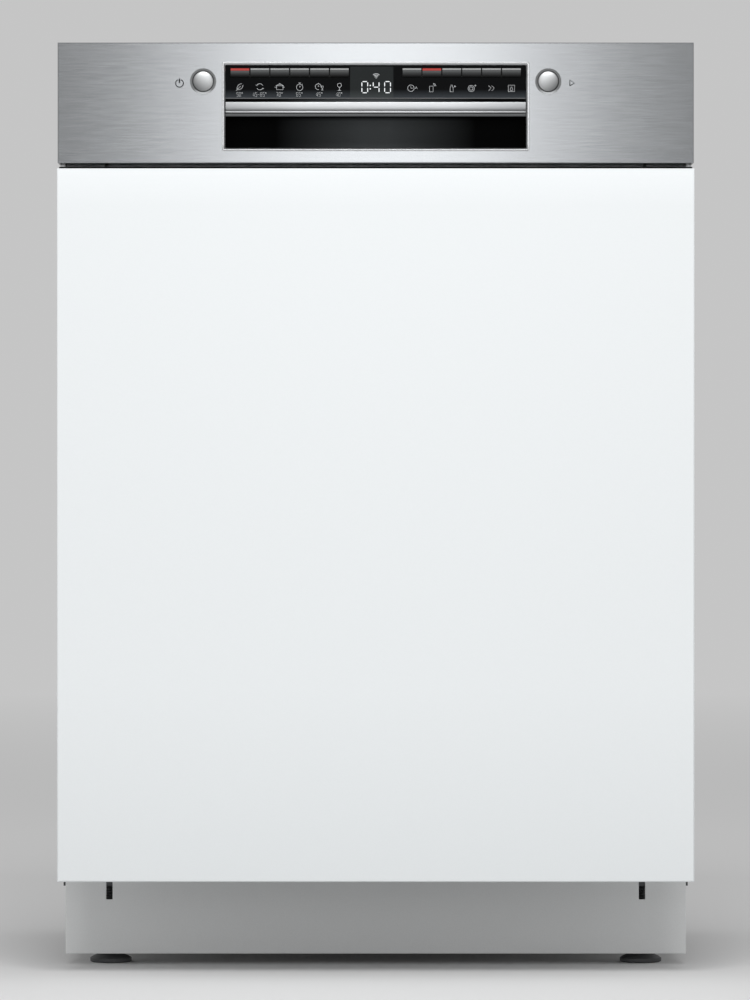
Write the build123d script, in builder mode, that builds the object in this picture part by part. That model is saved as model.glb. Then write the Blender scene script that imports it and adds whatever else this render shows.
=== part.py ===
from build123d import *
from math import hypot
import os

os.makedirs("parts", exist_ok=True)

# Built-in dishwasher with a furniture front, door shut.
# Millimetres: x to the right, y from the front to the rear, z up from the floor.

# Envelope
WIDTH = 598.0
DEPTH = 573.0
HEIGHT = 875.0

# Clearances
SLIDE_FIT = 0.3
PIN_FIT = 0.06
TRIM_FIT = 0.1
ROUND_FIT = 0.4

# Side counts of plain round and hexagonal sections
ROUND_SIDES = 12
EYE_SIDES = 8
CAP_SIDES = 24
BUTTON_SIDES = 36
HEX_SIDES = 6

# Furniture front and control fascia
PANEL_REVEAL = 1.0
PANEL_LIFT = 87.5
PANEL_THICKNESS = 19.0
PANEL_EDGE = 1.5
FRONT_GAP = 5.0
FASCIA_REVEAL = 1.75
FASCIA_HEIGHT = 112.5
FASCIA_SHEET = 1.0
FASCIA_RETURN = 35.0
FASCIA_EDGE = 0.8
TOP_REVEAL = 3.0

# Control insert: frame, strip, keys and handle bar
INSERT_WIDTH = 286.7
INSERT_HEIGHT = 83.2
INSERT_DROP = 18.1
INSERT_CORNER = 2.0
FRAME_RIM = 3.0
FRAME_PROUD = 0.4
FRAME_DEPTH = 5.0
FRAME_BEVEL = 1.0
STRIP_HEIGHT = 31.4
STRIP_RECESS = 2.0
STRIP_SEAT = 2.0
KEY_COUNT = 6
KEY_HEIGHT = 8.0
KEY_GAP = 1.0
KEY_DEPTH = 8.0
KEY_PROUD = 1.2
KEY_DROP = 2.9
KEY_BEVEL = 1.0
KEY_SLOPE = 2.0
KEY_EDGE = 0.3
KEY_TRAVEL = 1.0
KEY_SIDE = 4.65
DISPLAY_GAP = 50.2
DISPLAY_MARGIN = 5.1
BAR_HEIGHT = 10.2
BAR_GAP = 3.0
BAR_RECESS = 0.6
BAR_DEPTH = 8.0
BAR_ROUND = 2.5

# Control housing and handle pocket
HOUSING_DEPTH = 35.0
HOUSING_WALL = 2.5
POCKET_WALL = 2.5
POCKET_HOOK = 8.0
BOARD_THICKNESS = 1.6
BOARD_MARGIN = 16.0

# Round buttons
BUTTON_GAP = 17.95
BUTTON_DROP = 36.3
BUTTON_RADIUS = 9.6
BUTTON_PROUD = 1.5
BUTTON_CROWN = 1.8
BUTTON_BEVEL = 4.0
BUTTON_TRAVEL = 1.8
COLLAR_WALL = 2.1
COLLAR_LENGTH = 9.0

# Door shell and hinges
DOOR_DEPTH = 44.0
DOOR_SHEET = 1.0
OUTER_INSET = 0.25
OUTER_FLANGE = 38.0
OUTER_RETURN = 12.0
LINER_INSET = 4.0
TONGUE_GAP = 12.0
DOOR_TAIL = 18.0
DOOR_SKIRT = 37.0
LINER_RIB = 3.0
RIB_ANGLE = 45
RIB_MARGIN = 20.0
HINGE_SETBACK = 14.0
PIN_RADIUS = 5.0
ARM_INSET = 16.0
ARM_PLATE = 4.0
ARM_EYE = 12.0
ARM_NECK = 28.0
ARM_HEIGHT = 260.0
BRACKET_GAP = 2.0
BRACKET_PLATE = 4.0
BRACKET_EYE = 10.0
BRACKET_FOOT = 11.0
SPRING_RADIUS = 5.5
SPRING_HOOK = 1.8
SPRING_LENGTH = 150.0
SPRING_RISE = 25.0

# Tub
TUB_SIDE_GAP = 22.0
TUB_WALL = 1.0
TUB_FLOOR = 198.0
TUB_HEADROOM = 25.0
TUB_REAR_GAP = 36.0
TUB_CORNER = 20.0
FLANGE_INSET = 2.0
TUB_APRON = 20.0
GASKET_DEPTH = 7.7
GASKET_WIDTH = 8.0
GASKET_INSET = 3.0
GASKET_STEP = 1.6

# Casing
CASE_SHEET = 1.0
CASE_RETURN = 12.0
SWAGES = 3
SWAGE_SHARE = 0.72
TOP_LIP = 12.0
TOP_SETBACK = 18.0
TAB_DISTANCE = 360.0
TAB_WIDTH = 30.0
TAB_SHEET = 1.5
TAB_REACH = 25.0
TAB_HOLE = 2.25
STRIKER_WIDTH = 16.0
STRIKER_THICKNESS = 4.0
STRIKER_REACH = 22.0
LOCK_WIDTH = 60.0
LOCK_HEIGHT = 14.0
LOCK_DEPTH = 24.0
LOCK_PLAY = 2.5

# Base, feet and kick plate
BASE_BOTTOM = 75.0
BASE_WALL = 3.0
BASE_CORNER = 8.0
BASE_REAR_RECESS = 25.0
SWING_CLEAR = 5.0
KICK_SHEET = 1.2
KICK_LIFT = 10.0
KICK_OVERLAP = 23.0
KICK_INSET = 2.0
FOOT_EDGE = 44.0
FOOT_CLEAR = 1.0
REAR_FOOT_INSET = 36.0
FOOT_PAD = 20.0
FOOT_PAD_HEIGHT = 8.0
PAD_ANGLE = 45
FOOT_STEM = 8.0
FOOT_GRIP = 30.0
FOOT_TRAVEL = 60.0
TOWER_WALL = 7.0
SPINDLE_RADIUS = 4.0
SPINDLE_HEAD = 7.0
SPINDLE_LEVEL = 40.0
FOOT_NUT = 11.0
FOOT_NUT_HEIGHT = 6.0
KICK_LIP = 7.0
KICK_SLOT = 24.0

# Sump, filters, pumps and softener
SUMP_Y = -35.0
SUMP_LENGTH = 210.0
SUMP_WIDTH = 130.0
SUMP_WALL = 3.0
SUMP_CORNER = 40.0
SUMP_LIP = 8.0
SUMP_LIP_HEIGHT = 2.0
SUMP_DEPTH = 76.0
HUB_Y = 14.0
HUB_POST = 14.0
HUB_PIN = 9.0
HUB_RISE = 22.0
FILTER_Y = -90.0
FILTER_RADIUS = 41.0
FILTER_LIP = 4.0
FILTER_HEIGHT = 60.0
FILTER_GRIP = 12.0
FILTER_GRIP_LENGTH = 60.0
FILTER_GRIP_WIDTH = 8.0
PUMP_SPIGOT = 18.0
PUMP_VOLUTE = 48.0
PUMP_VOLUTE_WIDTH = 27.0
PUMP_MOTOR = 40.0
PUMP_LENGTH = 150.0
DRAIN_RADIUS = 26.0
DRAIN_LENGTH = 75.0
SALT_X = -165.0
SALT_Y = -88.0
SALT_NECK = 30.0
SALT_CAP_HEIGHT = 9.0
SALT_GRIP = 6.0
SALT_GRIP_LENGTH = 48.0
SALT_GRIP_WIDTH = 10.0
SALT_ANGLE = 8
TANK_WIDTH = 126.0
TANK_LENGTH = 190.0
TANK_HEIGHT = 92.0

# Water feed and spray arms
PIPE_WIDTH = 36.0
PIPE_DEPTH = 16.0
PIPE_STANDOFF = 4.0
PIPE_CORNER = 4.0
PIPE_BEND = 19.0
NOZZLE_RADIUS = 32.0
NOZZLE_HEIGHT = 9.0
PORT_RADIUS = 12.0
PORT_REACH = 7.0
ARM_REACH_LOW = 205.0
ARM_REACH_TOP = 198.0
ARM_HUB = 32.0
ARM_TIP = 14.0
ARM_THICKNESS = 15.0
NOZZLES = 4
NOZZLE_SLOT = 3.0

# Racks
WIRE = 4.4
RACK_FRONT_GAP = 23.0
RACK_REAR_GAP = 12.0
LOWER_SIDE_GAP = 31.0
LOWER_CLEAR = 66.0
LOWER_FRONT_WALL = 78.0
LOWER_SIDE_WALL = 120.0
LOWER_RAIL = 22.0
UPPER_SIDE_GAP = 22.0
UPPER_LEVEL = 346.0
UPPER_WALL = 115.0
UPPER_RAIL = 56.0
WIRES_ALONG = 11
WIRES_ACROSS = 9
TINE_HEIGHT = 88.0
WHEELS_A_SIDE = 4
WHEEL_RADIUS = 17.0
WHEEL_WIDTH = 8.0
WHEEL_PLATE = 3.0
WHEEL_PLATE_LENGTH = 16.0
GUIDE_DEPTH = 14.0
GUIDE_HEIGHT = 22.0
GUIDE_SHEET = 1.5
GUIDE_MARGIN = 20.0
ROLLER_WIDTH = 6.0
FEED_TUBE = 9.0

# Rack fittings
BASKET_LENGTH = 176.0
BASKET_DEPTH = 70.0
BASKET_HEIGHT = 125.0
BASKET_WALL = 2.5
BASKET_SLOTS = 7
SLOT_SHARE = 0.7
BASKET_SIDE_GAP = 2.2
BASKET_INSET = 5.0
BASKET_HANDLE = 66.0
BASKET_GRIP = 30.0
BASKET_GRIP_CORNER = 15.0
LEFT_TINE_ROWS = (0.40, 0.62, 0.84)
RIGHT_TINE_ROWS = (0.20, 0.72, 0.87)
UPPER_TINE_ROWS = (0.20, 0.50, 0.80)
UPPER_TINE_HEIGHT = 62.0
FOLD_SIDE_GAP = 16.2
FOLD_LENGTH = 190.0
FOLD_Y = 40.0
FOLD_BAR = 3.0
FOLD_TINES = 5
SHELF_RISE = 92.0
SHELF_WIDTH = 105.0
SHELF_LENGTH = 280.0
SHELF_THICKNESS = 4.0
SHELF_BARREL = 4.0
SHELF_SLOTS = 6

# Detergent dispenser
DISPENSER_WIDTH = 172.0
DISPENSER_HEIGHT = 160.0
DISPENSER_LEVEL = 222.0
DISPENSER_RIM = 5.0
DISPENSER_FACE = 3.0
DISPENSER_DEPTH = 34.0
CUP_X = -32.0
CUP_WIDTH = 78.0
CUP_HEIGHT = 68.0
CUP_DEPTH = 28.0
CUP_CORNER = 3.0
CUP_ANGLE = 6
LID_LAP = 4.0
LID_SHEET = 3.0
LID_TRAVEL = 74.0
GUIDE_LIP = 1.5
CAP_X = 58.0
CAP_SIZE = 46.0
CAP_THICKNESS = 6.0
FILLER_RADIUS = 14.0

# Rear connections
INLET_X = -149.5
INLET_RADIUS = 13.2
DRAIN_X = 74.75
DRAIN_SPIGOT = 9.5
GLAND_X = 199.3
GLAND_RADIUS = 13.0
CONNECTION_REACH = 20.0
CONNECTION_LEVEL = 42.0

# Positions that follow from the sizes
case_half = WIDTH / 2
panel_width = WIDTH - 2 * PANEL_REVEAL
fascia_width = WIDTH - 2 * FASCIA_REVEAL
outer_width = fascia_width - 2 * OUTER_INSET
liner_width = outer_width - 2 * LINER_INSET
arm_x = liner_width / 2 - ARM_INSET
tongue_width = 2 * (arm_x - TONGUE_GAP)
kick_width = WIDTH - 2 * KICK_INSET
foot_x = case_half - FOOT_EDGE

fascia_y = -DEPTH / 2 + BUTTON_PROUD
rear_y = DEPTH / 2
fascia_top = HEIGHT - TOP_REVEAL
fascia_bottom = fascia_top - FASCIA_HEIGHT
panel_top = fascia_bottom - FRONT_GAP
panel_bottom = PANEL_LIFT
panel_rear = fascia_y + PANEL_THICKNESS

frame_top = fascia_top - INSERT_DROP
frame_bottom = frame_top - INSERT_HEIGHT
frame_mid = (frame_top + frame_bottom) / 2
opening_width = INSERT_WIDTH - 2 * FRAME_RIM
opening_top = frame_top - FRAME_RIM
opening_bottom = frame_bottom + FRAME_RIM
frame_back = fascia_y + FRAME_DEPTH
strip_bottom = opening_top - STRIP_HEIGHT
strip_y = fascia_y + STRIP_RECESS
key_top = opening_top - KEY_DROP
key_mid = key_top - KEY_HEIGHT / 2
key_y = strip_y - KEY_PROUD
key_group = (opening_width - DISPLAY_GAP) / 2 - KEY_SIDE
key_group_x = (DISPLAY_GAP + key_group) / 2
key_pitch = (key_group + KEY_GAP) / KEY_COUNT
key_width = key_pitch - KEY_GAP
display_width = DISPLAY_GAP - 2 * DISPLAY_MARGIN
bar_top = strip_bottom - BAR_GAP
bar_bottom = bar_top - BAR_HEIGHT
bar_y = fascia_y + BAR_RECESS
button_x = INSERT_WIDTH / 2 + BUTTON_GAP
button_z = fascia_top - BUTTON_DROP
board_y = key_y + KEY_DEPTH + KEY_TRAVEL + SLIDE_FIT
button_rear = board_y - BUTTON_TRAVEL - SLIDE_FIT
collar_bore = BUTTON_RADIUS + ROUND_FIT
collar_radius = collar_bore + COLLAR_WALL

housing_front = fascia_y + FASCIA_SHEET
housing_rear = fascia_y + HOUSING_DEPTH
housing_half = fascia_width / 2 - FASCIA_SHEET - TRIM_FIT
housing_top = fascia_top - FASCIA_SHEET - TRIM_FIT
housing_bottom = fascia_bottom + FASCIA_SHEET + TRIM_FIT
pocket_top = bar_bottom + POCKET_HOOK
pocket_back = housing_rear - POCKET_WALL

outer_back = panel_rear + DOOR_SHEET
liner_y = panel_rear + DOOR_DEPTH
liner_front = liner_y - DOOR_SHEET
liner_top = housing_top - DOOR_SHEET
hinge_y = panel_rear + HINGE_SETBACK
hinge_z = TUB_FLOOR - (liner_y - hinge_y)
door_bottom = hinge_z - DOOR_TAIL
skirt_z = hinge_z + DOOR_SKIRT
outer_top = fascia_bottom - FRONT_GAP / 2

mouth_y = liner_y + SLIDE_FIT + GASKET_DEPTH
tub_half = case_half - TUB_SIDE_GAP
tub_inner = tub_half - TUB_WALL
tub_top = HEIGHT - TUB_HEADROOM
tub_ceiling = tub_top - TUB_WALL
tub_bottom = TUB_FLOOR - TUB_WALL
tub_rear = rear_y - TUB_REAR_GAP
tub_back = tub_rear - TUB_WALL
flange_half = case_half - FLANGE_INSET
flange_top = HEIGHT - TAB_SHEET
flange_rear = mouth_y + TUB_WALL
flange_foot = TUB_FLOOR + 2 * SPRING_RADIUS

case_rear = rear_y - CASE_SHEET
base_front = hinge_y + hypot(hinge_y - fascia_y, hinge_z - panel_bottom) + SWING_CLEAR + KICK_SHEET
base_rear = rear_y - BASE_REAR_RECESS
base_top = tub_bottom
base_floor = BASE_BOTTOM + BASE_WALL
kick_back = base_front - SLIDE_FIT
front_foot_y = kick_back + KICK_LIP + FOOT_PAD + FOOT_CLEAR
rear_foot_y = base_rear - REAR_FOOT_INSET
tower_bore = FOOT_STEM + ROUND_FIT
tower_radius = tower_bore + TOWER_WALL
bracket_x = arm_x + ARM_PLATE + BRACKET_GAP
spring_x = arm_x + ARM_PLATE / 2
spring_z = hinge_z + SPRING_RISE
spring_front = outer_back + ARM_NECK + SLIDE_FIT
spring_rear = spring_front + SPRING_LENGTH

sump_top = TUB_FLOOR + SUMP_LIP_HEIGHT
sump_bottom = sump_top - SUMP_DEPTH
filter_top = sump_top + BASE_WALL / 2
hub_top = TUB_FLOOR + HUB_RISE
pipe_low = TUB_FLOOR + PIPE_STANDOFF + PIPE_DEPTH / 2
pipe_back = tub_back - PIPE_STANDOFF - PIPE_DEPTH / 2
pipe_high = tub_ceiling - PIPE_STANDOFF - PIPE_DEPTH / 2
pipe_front = pipe_back - PIPE_DEPTH / 2

wire_half = WIRE / 2
rack_front = liner_y + RACK_FRONT_GAP
rack_rear = pipe_front - RACK_REAR_GAP
lower_half = tub_inner - LOWER_SIDE_GAP
upper_half = tub_inner - UPPER_SIDE_GAP
lower_z = TUB_FLOOR + LOWER_CLEAR
upper_z = TUB_FLOOR + UPPER_LEVEL
guide_z = upper_z + UPPER_RAIL
roller_radius = GUIDE_HEIGHT / 2 - GUIDE_SHEET - SLIDE_FIT
port_z = upper_z - FEED_TUBE
upper_arm_z = port_z - FEED_TUBE - ARM_THICKNESS - SLIDE_FIT
lower_arm_z = hub_top + SLIDE_FIT


def front(y):
    """Sketch plane facing the front at depth y: sketch x is x, sketch y is z."""
    return Plane.XZ.offset(-y)


def side(x):
    """Sketch plane facing right at x: sketch x is y, sketch y is z."""
    return Plane.YZ.offset(x)


def level(z):
    """Sketch plane facing up at height z."""
    return Plane.XY.offset(z)


def basin_outline(growth):
    """Outline of the sump basin, a rectangle with its corners cut off."""
    with BuildSketch() as outline:
        with Locations((0, SUMP_Y)):
            Rectangle(SUMP_WIDTH + 2 * growth, SUMP_LENGTH + 2 * growth)
        chamfer(outline.vertices(), length=SUMP_CORNER)
    add(outline.sketch)


def span(u0, u1, v0, v1, mode=Mode.ADD):
    """Rectangle between two limits on each sketch axis."""
    with Locations(((u0 + u1) / 2, (v0 + v1) / 2)):
        Rectangle(u1 - u0, v1 - v0, mode=mode)


# Furniture front

with BuildPart() as furniture_panel:
    with BuildSketch(front(panel_rear)):
        span(-panel_width / 2, panel_width / 2, panel_bottom, panel_top)
    extrude(amount=PANEL_THICKNESS)
    fillet(furniture_panel.faces().sort_by(Axis.Y)[0].edges(), radius=PANEL_EDGE)
furniture_panel.part.label = "furniture_panel"
export_step(furniture_panel.part, "parts/furniture_panel.step")

# Control fascia: a folded steel pan with the insert window and two button holes

with BuildPart() as control_fascia:
    with BuildSketch(front(fascia_y + FASCIA_RETURN)):
        span(-fascia_width / 2, fascia_width / 2, fascia_bottom, fascia_top)
    extrude(amount=FASCIA_RETURN)
    chamfer(control_fascia.faces().sort_by(Axis.Y)[0].edges(), length=FASCIA_EDGE)
    with BuildSketch(front(fascia_y + FASCIA_RETURN)):
        span(
            -fascia_width / 2 + FASCIA_SHEET,
            fascia_width / 2 - FASCIA_SHEET,
            fascia_bottom + FASCIA_SHEET,
            fascia_top - FASCIA_SHEET,
        )
    extrude(amount=FASCIA_RETURN - FASCIA_SHEET, mode=Mode.SUBTRACT)
    with BuildSketch(front(fascia_y + FASCIA_RETURN)):
        with Locations((0, frame_mid)):
            RectangleRounded(INSERT_WIDTH + 2 * TRIM_FIT, INSERT_HEIGHT + 2 * TRIM_FIT, INSERT_CORNER)
        with Locations((-button_x, button_z), (button_x, button_z)):
            Circle(collar_radius + TRIM_FIT)
    extrude(amount=FASCIA_RETURN, mode=Mode.SUBTRACT)
control_fascia.part.label = "control_fascia"
export_step(control_fascia.part, "parts/control_fascia.step")

# Bright frame round the insert window

with BuildPart() as insert_frame:
    with BuildSketch(front(frame_back)):
        with Locations((0, frame_mid)):
            RectangleRounded(INSERT_WIDTH, INSERT_HEIGHT, INSERT_CORNER)
            Rectangle(opening_width, opening_top - opening_bottom, mode=Mode.SUBTRACT)
    extrude(amount=FRAME_DEPTH + FRAME_PROUD)
    chamfer(insert_frame.faces().sort_by(Axis.Y)[0].inner_wires()[0].edges(), length=FRAME_BEVEL)
insert_frame.part.label = "insert_frame"
export_step(insert_frame.part, "parts/insert_frame.step")

# Control strip with a slot for each group of keys

with BuildPart() as control_strip:
    with BuildSketch(front(frame_back)):
        strip_half = opening_width / 2 - TRIM_FIT
        span(-strip_half, strip_half, strip_bottom, opening_top - TRIM_FIT)
        with Locations((-key_group_x, key_mid), (key_group_x, key_mid)):
            Rectangle(key_group + 2 * SLIDE_FIT, KEY_HEIGHT + 2 * SLIDE_FIT, mode=Mode.SUBTRACT)
    extrude(amount=FRAME_DEPTH - STRIP_RECESS)
control_strip.part.label = "control_strip"
export_step(control_strip.part, "parts/control_strip.step")

# Selector keys: a bevelled cap on each, six to the left and six to the right of the display

for side_name, direction in (("left", -1), ("right", 1)):
    for index in range(KEY_COUNT):
        key_x = direction * key_group_x - key_group / 2 + key_width / 2 + index * key_pitch
        with BuildPart() as selector_key:
            with BuildSketch(front(key_y + KEY_DEPTH)):
                with Locations((key_x, key_mid)):
                    Rectangle(key_width, KEY_HEIGHT)
            extrude(amount=KEY_DEPTH)
            key_face = selector_key.faces().sort_by(Axis.Y)[0]
            chamfer(key_face.edges().sort_by(Axis.Z)[-1], length=KEY_BEVEL, length2=KEY_SLOPE)
            chamfer(selector_key.faces().sort_by(Axis.Y)[0].edges().sort_by(Axis.Z)[0], length=KEY_EDGE)
        selector_key.part.label = f"{side_name}_key_{index + 1}"
        export_step(selector_key.part, f"parts/{side_name}_key_{index + 1}.step")

# Handle bar across the mouth of the pocket

with BuildPart() as handle_bar:
    with BuildSketch(side(-opening_width / 2 + TRIM_FIT)) as bar_profile:
        span(bar_y, bar_y + BAR_DEPTH, bar_bottom, bar_top)
        fillet(bar_profile.vertices().group_by(Axis.X)[0], radius=BAR_ROUND)
    extrude(amount=opening_width - 2 * TRIM_FIT)
handle_bar.part.label = "handle_bar"
export_step(handle_bar.part, "parts/handle_bar.step")

# Control housing: moulded shell with the finger pocket, the window and the button collars

with BuildPart() as control_housing:
    with BuildSketch(front(housing_rear)):
        span(-housing_half, housing_half, housing_bottom, housing_top)
    extrude(amount=housing_rear - housing_front)
    with BuildSketch(front(housing_rear)):
        span(
            -housing_half + HOUSING_WALL,
            housing_half - HOUSING_WALL,
            housing_bottom + HOUSING_WALL,
            housing_top - HOUSING_WALL,
        )
    extrude(amount=housing_rear - housing_front - HOUSING_WALL, mode=Mode.SUBTRACT)
    with BuildSketch(front(housing_rear)):
        with Locations((0, frame_mid)):
            Rectangle(INSERT_WIDTH + 2 * TRIM_FIT, INSERT_HEIGHT + 2 * TRIM_FIT)
    extrude(amount=HOUSING_DEPTH, mode=Mode.SUBTRACT)
    with BuildSketch(front(housing_rear)):
        span(
            -opening_width / 2 - POCKET_WALL,
            opening_width / 2 + POCKET_WALL,
            housing_bottom,
            strip_bottom + STRIP_SEAT,
        )
    extrude(amount=housing_rear - frame_back)
    with BuildSketch(front(pocket_back)) as pocket_mouth:
        span(-opening_width / 2, opening_width / 2, opening_bottom, pocket_top)
        chamfer(pocket_mouth.vertices(), length=POCKET_WALL)
    extrude(amount=pocket_back - frame_back, mode=Mode.SUBTRACT)
    with BuildSketch(front(bar_y + BAR_DEPTH)):
        span(-opening_width / 2, opening_width / 2, opening_bottom + POCKET_WALL, bar_top + TRIM_FIT)
    extrude(amount=bar_y + BAR_DEPTH - frame_back, mode=Mode.SUBTRACT)
    with BuildSketch(front(fascia_y + COLLAR_LENGTH)):
        with Locations((-button_x, button_z), (button_x, button_z)):
            Rectangle(2 * collar_radius, 2 * collar_radius)
    extrude(amount=fascia_y + COLLAR_LENGTH - housing_front)
    with BuildSketch(front(housing_front)):
        with Locations((-button_x, button_z), (button_x, button_z)):
            Circle(collar_radius)
    extrude(amount=FASCIA_SHEET)
    with BuildSketch(front(fascia_y + COLLAR_LENGTH)):
        with Locations((-button_x, button_z), (button_x, button_z)):
            Circle(collar_bore)
    extrude(amount=COLLAR_LENGTH, mode=Mode.SUBTRACT)
control_housing.part.label = "control_housing"
export_step(control_housing.part, "parts/control_housing.step")

# Round buttons: a crowned cap on a plain shank

for button_name, direction in (("power_button", -1), ("start_button", 1)):
    with BuildPart() as round_button:
        crown_y = fascia_y - BUTTON_PROUD
        with BuildSketch(front(button_rear)):
            with Locations((direction * button_x, button_z)):
                RegularPolygon(BUTTON_RADIUS, BUTTON_SIDES)
        extrude(amount=button_rear - crown_y)
        rim_edges = round_button.faces().sort_by(Axis.Y)[0].edges()
        chamfer(rim_edges, length=BUTTON_CROWN, length2=BUTTON_BEVEL)
    round_button.part.label = button_name
    export_step(round_button.part, f"parts/{button_name}.step")

# Control board behind the keys, held in the housing

with BuildPart() as control_board:
    board_half = button_x + BOARD_MARGIN
    with BuildSketch(front(board_y + BOARD_THICKNESS)):
        span(-board_half, board_half, strip_bottom + STRIP_SEAT + POCKET_WALL, housing_top - HOUSING_WALL)
    extrude(amount=BOARD_THICKNESS)
    with BuildSketch(front(board_y)):
        span(-display_width / 2, display_width / 2, strip_bottom + STRIP_SEAT + POCKET_WALL, opening_top)
    extrude(amount=board_y - frame_back)
control_board.part.label = "control_board"
export_step(control_board.part, "parts/control_board.step")

# Door outer panel: a folded sheet behind the furniture front

with BuildPart() as door_outer_panel:
    with BuildSketch(front(outer_back)):
        span(-outer_width / 2, outer_width / 2, door_bottom, outer_top)
    extrude(amount=DOOR_SHEET)
    with BuildSketch(level(skirt_z)):
        span(-outer_width / 2, outer_width / 2, panel_rear, panel_rear + OUTER_FLANGE)
        span(
            -outer_width / 2 + DOOR_SHEET,
            outer_width / 2 - DOOR_SHEET,
            outer_back,
            panel_rear + OUTER_FLANGE,
            mode=Mode.SUBTRACT,
        )
    extrude(amount=outer_top - skirt_z)
    with BuildSketch(level(outer_top - DOOR_SHEET)):
        span(-outer_width / 2, outer_width / 2, panel_rear, panel_rear + OUTER_RETURN)
    extrude(amount=DOOR_SHEET)
door_outer_panel.part.label = "door_outer_panel"
export_step(door_outer_panel.part, "parts/door_outer_panel.step")

# Door inner liner: stainless pan with a narrow tongue between the hinges, a pressed field,
# the dispenser window and the lock slot

dispenser_bottom = TUB_FLOOR + DISPENSER_LEVEL - DISPENSER_HEIGHT / 2
dispenser_top = dispenser_bottom + DISPENSER_HEIGHT
lock_top = liner_top - DOOR_SHEET
lock_bottom = lock_top - LOCK_HEIGHT
striker_mid = (lock_top + lock_bottom) / 2
slot_half = STRIKER_THICKNESS / 2 + LOCK_PLAY


def pressed_fields():
    """The two raised fields of the liner, above and below the dispenser."""
    field_half = tub_inner - RIB_MARGIN
    span(-field_half, field_half, dispenser_top + RIB_MARGIN, tub_ceiling - 2 * RIB_MARGIN)
    span(-field_half, field_half, skirt_z, dispenser_bottom - RIB_MARGIN)


def striker_slot():
    """Opening for the striker."""
    half_width = STRIKER_WIDTH / 2 + LOCK_PLAY
    span(-half_width, half_width, striker_mid - slot_half, striker_mid + slot_half)


with BuildPart() as door_inner_liner:
    with BuildSketch(front(liner_y)):
        span(-liner_width / 2, liner_width / 2, skirt_z, liner_top)
        span(-tongue_width / 2, tongue_width / 2, door_bottom, skirt_z)
    extrude(amount=DOOR_SHEET)
    with BuildSketch(level(skirt_z)):
        span(-liner_width / 2, liner_width / 2, housing_rear + TRIM_FIT, liner_y)
        span(
            -liner_width / 2 + DOOR_SHEET,
            liner_width / 2 - DOOR_SHEET,
            housing_rear + TRIM_FIT,
            liner_front,
            mode=Mode.SUBTRACT,
        )
    extrude(amount=liner_top - skirt_z)
    with BuildSketch(level(liner_top - DOOR_SHEET)):
        span(-liner_width / 2, liner_width / 2, housing_rear + TRIM_FIT, liner_y)
    extrude(amount=DOOR_SHEET)
    with BuildSketch(front(liner_y + LINER_RIB)):
        pressed_fields()
    extrude(amount=LINER_RIB, taper=-RIB_ANGLE)
    with BuildSketch(front(liner_front)):
        pressed_fields()
    extrude(amount=-LINER_RIB, taper=RIB_ANGLE, mode=Mode.SUBTRACT)
    with BuildSketch(front(liner_y)):
        span(
            -DISPENSER_WIDTH / 2 + DISPENSER_RIM,
            DISPENSER_WIDTH / 2 - DISPENSER_RIM,
            dispenser_bottom + DISPENSER_RIM,
            dispenser_top - DISPENSER_RIM,
        )
        striker_slot()
    extrude(amount=DOOR_SHEET, mode=Mode.SUBTRACT)
door_inner_liner.part.label = "door_inner_liner"
export_step(door_inner_liner.part, "parts/door_inner_liner.step")

# Door lock: a box with an open mouth for the striker

with BuildPart() as door_lock:
    with BuildSketch(front(liner_front)):
        span(-LOCK_WIDTH / 2, LOCK_WIDTH / 2, lock_bottom, lock_top)
    extrude(amount=LOCK_DEPTH)
    with BuildSketch(front(liner_front)):
        striker_slot()
    extrude(amount=LOCK_DEPTH - LOCK_PLAY, mode=Mode.SUBTRACT)
door_lock.part.label = "door_lock"
export_step(door_lock.part, "parts/door_lock.step")

# Hinge arms: flat plates that join both door sheets and turn on the bracket pins

with BuildPart() as hinge_arms:
    with BuildSketch(side(arm_x)):
        with Locations((hinge_y, hinge_z)):
            RegularPolygon(ARM_EYE, EYE_SIDES)
        span(outer_back, outer_back + ARM_NECK, hinge_z, skirt_z + ARM_EYE)
        span(outer_back, liner_front, skirt_z + ARM_EYE, skirt_z + ARM_HEIGHT)
        with Locations((hinge_y, hinge_z)):
            Circle(PIN_RADIUS + PIN_FIT, mode=Mode.SUBTRACT)
        with Locations(((outer_back + liner_front) / 2, skirt_z + ARM_HEIGHT / 2)):
            Rectangle(ARM_EYE, ARM_HEIGHT / 2, mode=Mode.SUBTRACT)
    extrude(amount=ARM_PLATE)
    mirror(about=Plane.YZ)
hinge_arms.part.label = "hinge_arms"
export_step(hinge_arms.part, "parts/hinge_arms.step")

# Detergent dispenser: a moulding let into the liner, with the cup, lid guides and filler hole

face_y = liner_y + DISPENSER_FACE
lid_y = face_y + SLIDE_FIT
lid_half = CUP_WIDTH / 2 + LID_LAP
cup_top = dispenser_top - 3 * LID_LAP
cup_bottom = cup_top - CUP_HEIGHT
lid_top = cup_top + LID_LAP
lid_bottom = cup_bottom - LID_LAP
guide_inner = lid_half + SLIDE_FIT
guide_back = lid_y + LID_SHEET + SLIDE_FIT
cap_bottom = cup_bottom + LID_LAP
cap_axis_y = lid_y + CAP_THICKNESS / 2
cap_axis_z = cap_bottom + CAP_THICKNESS / 2

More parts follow.
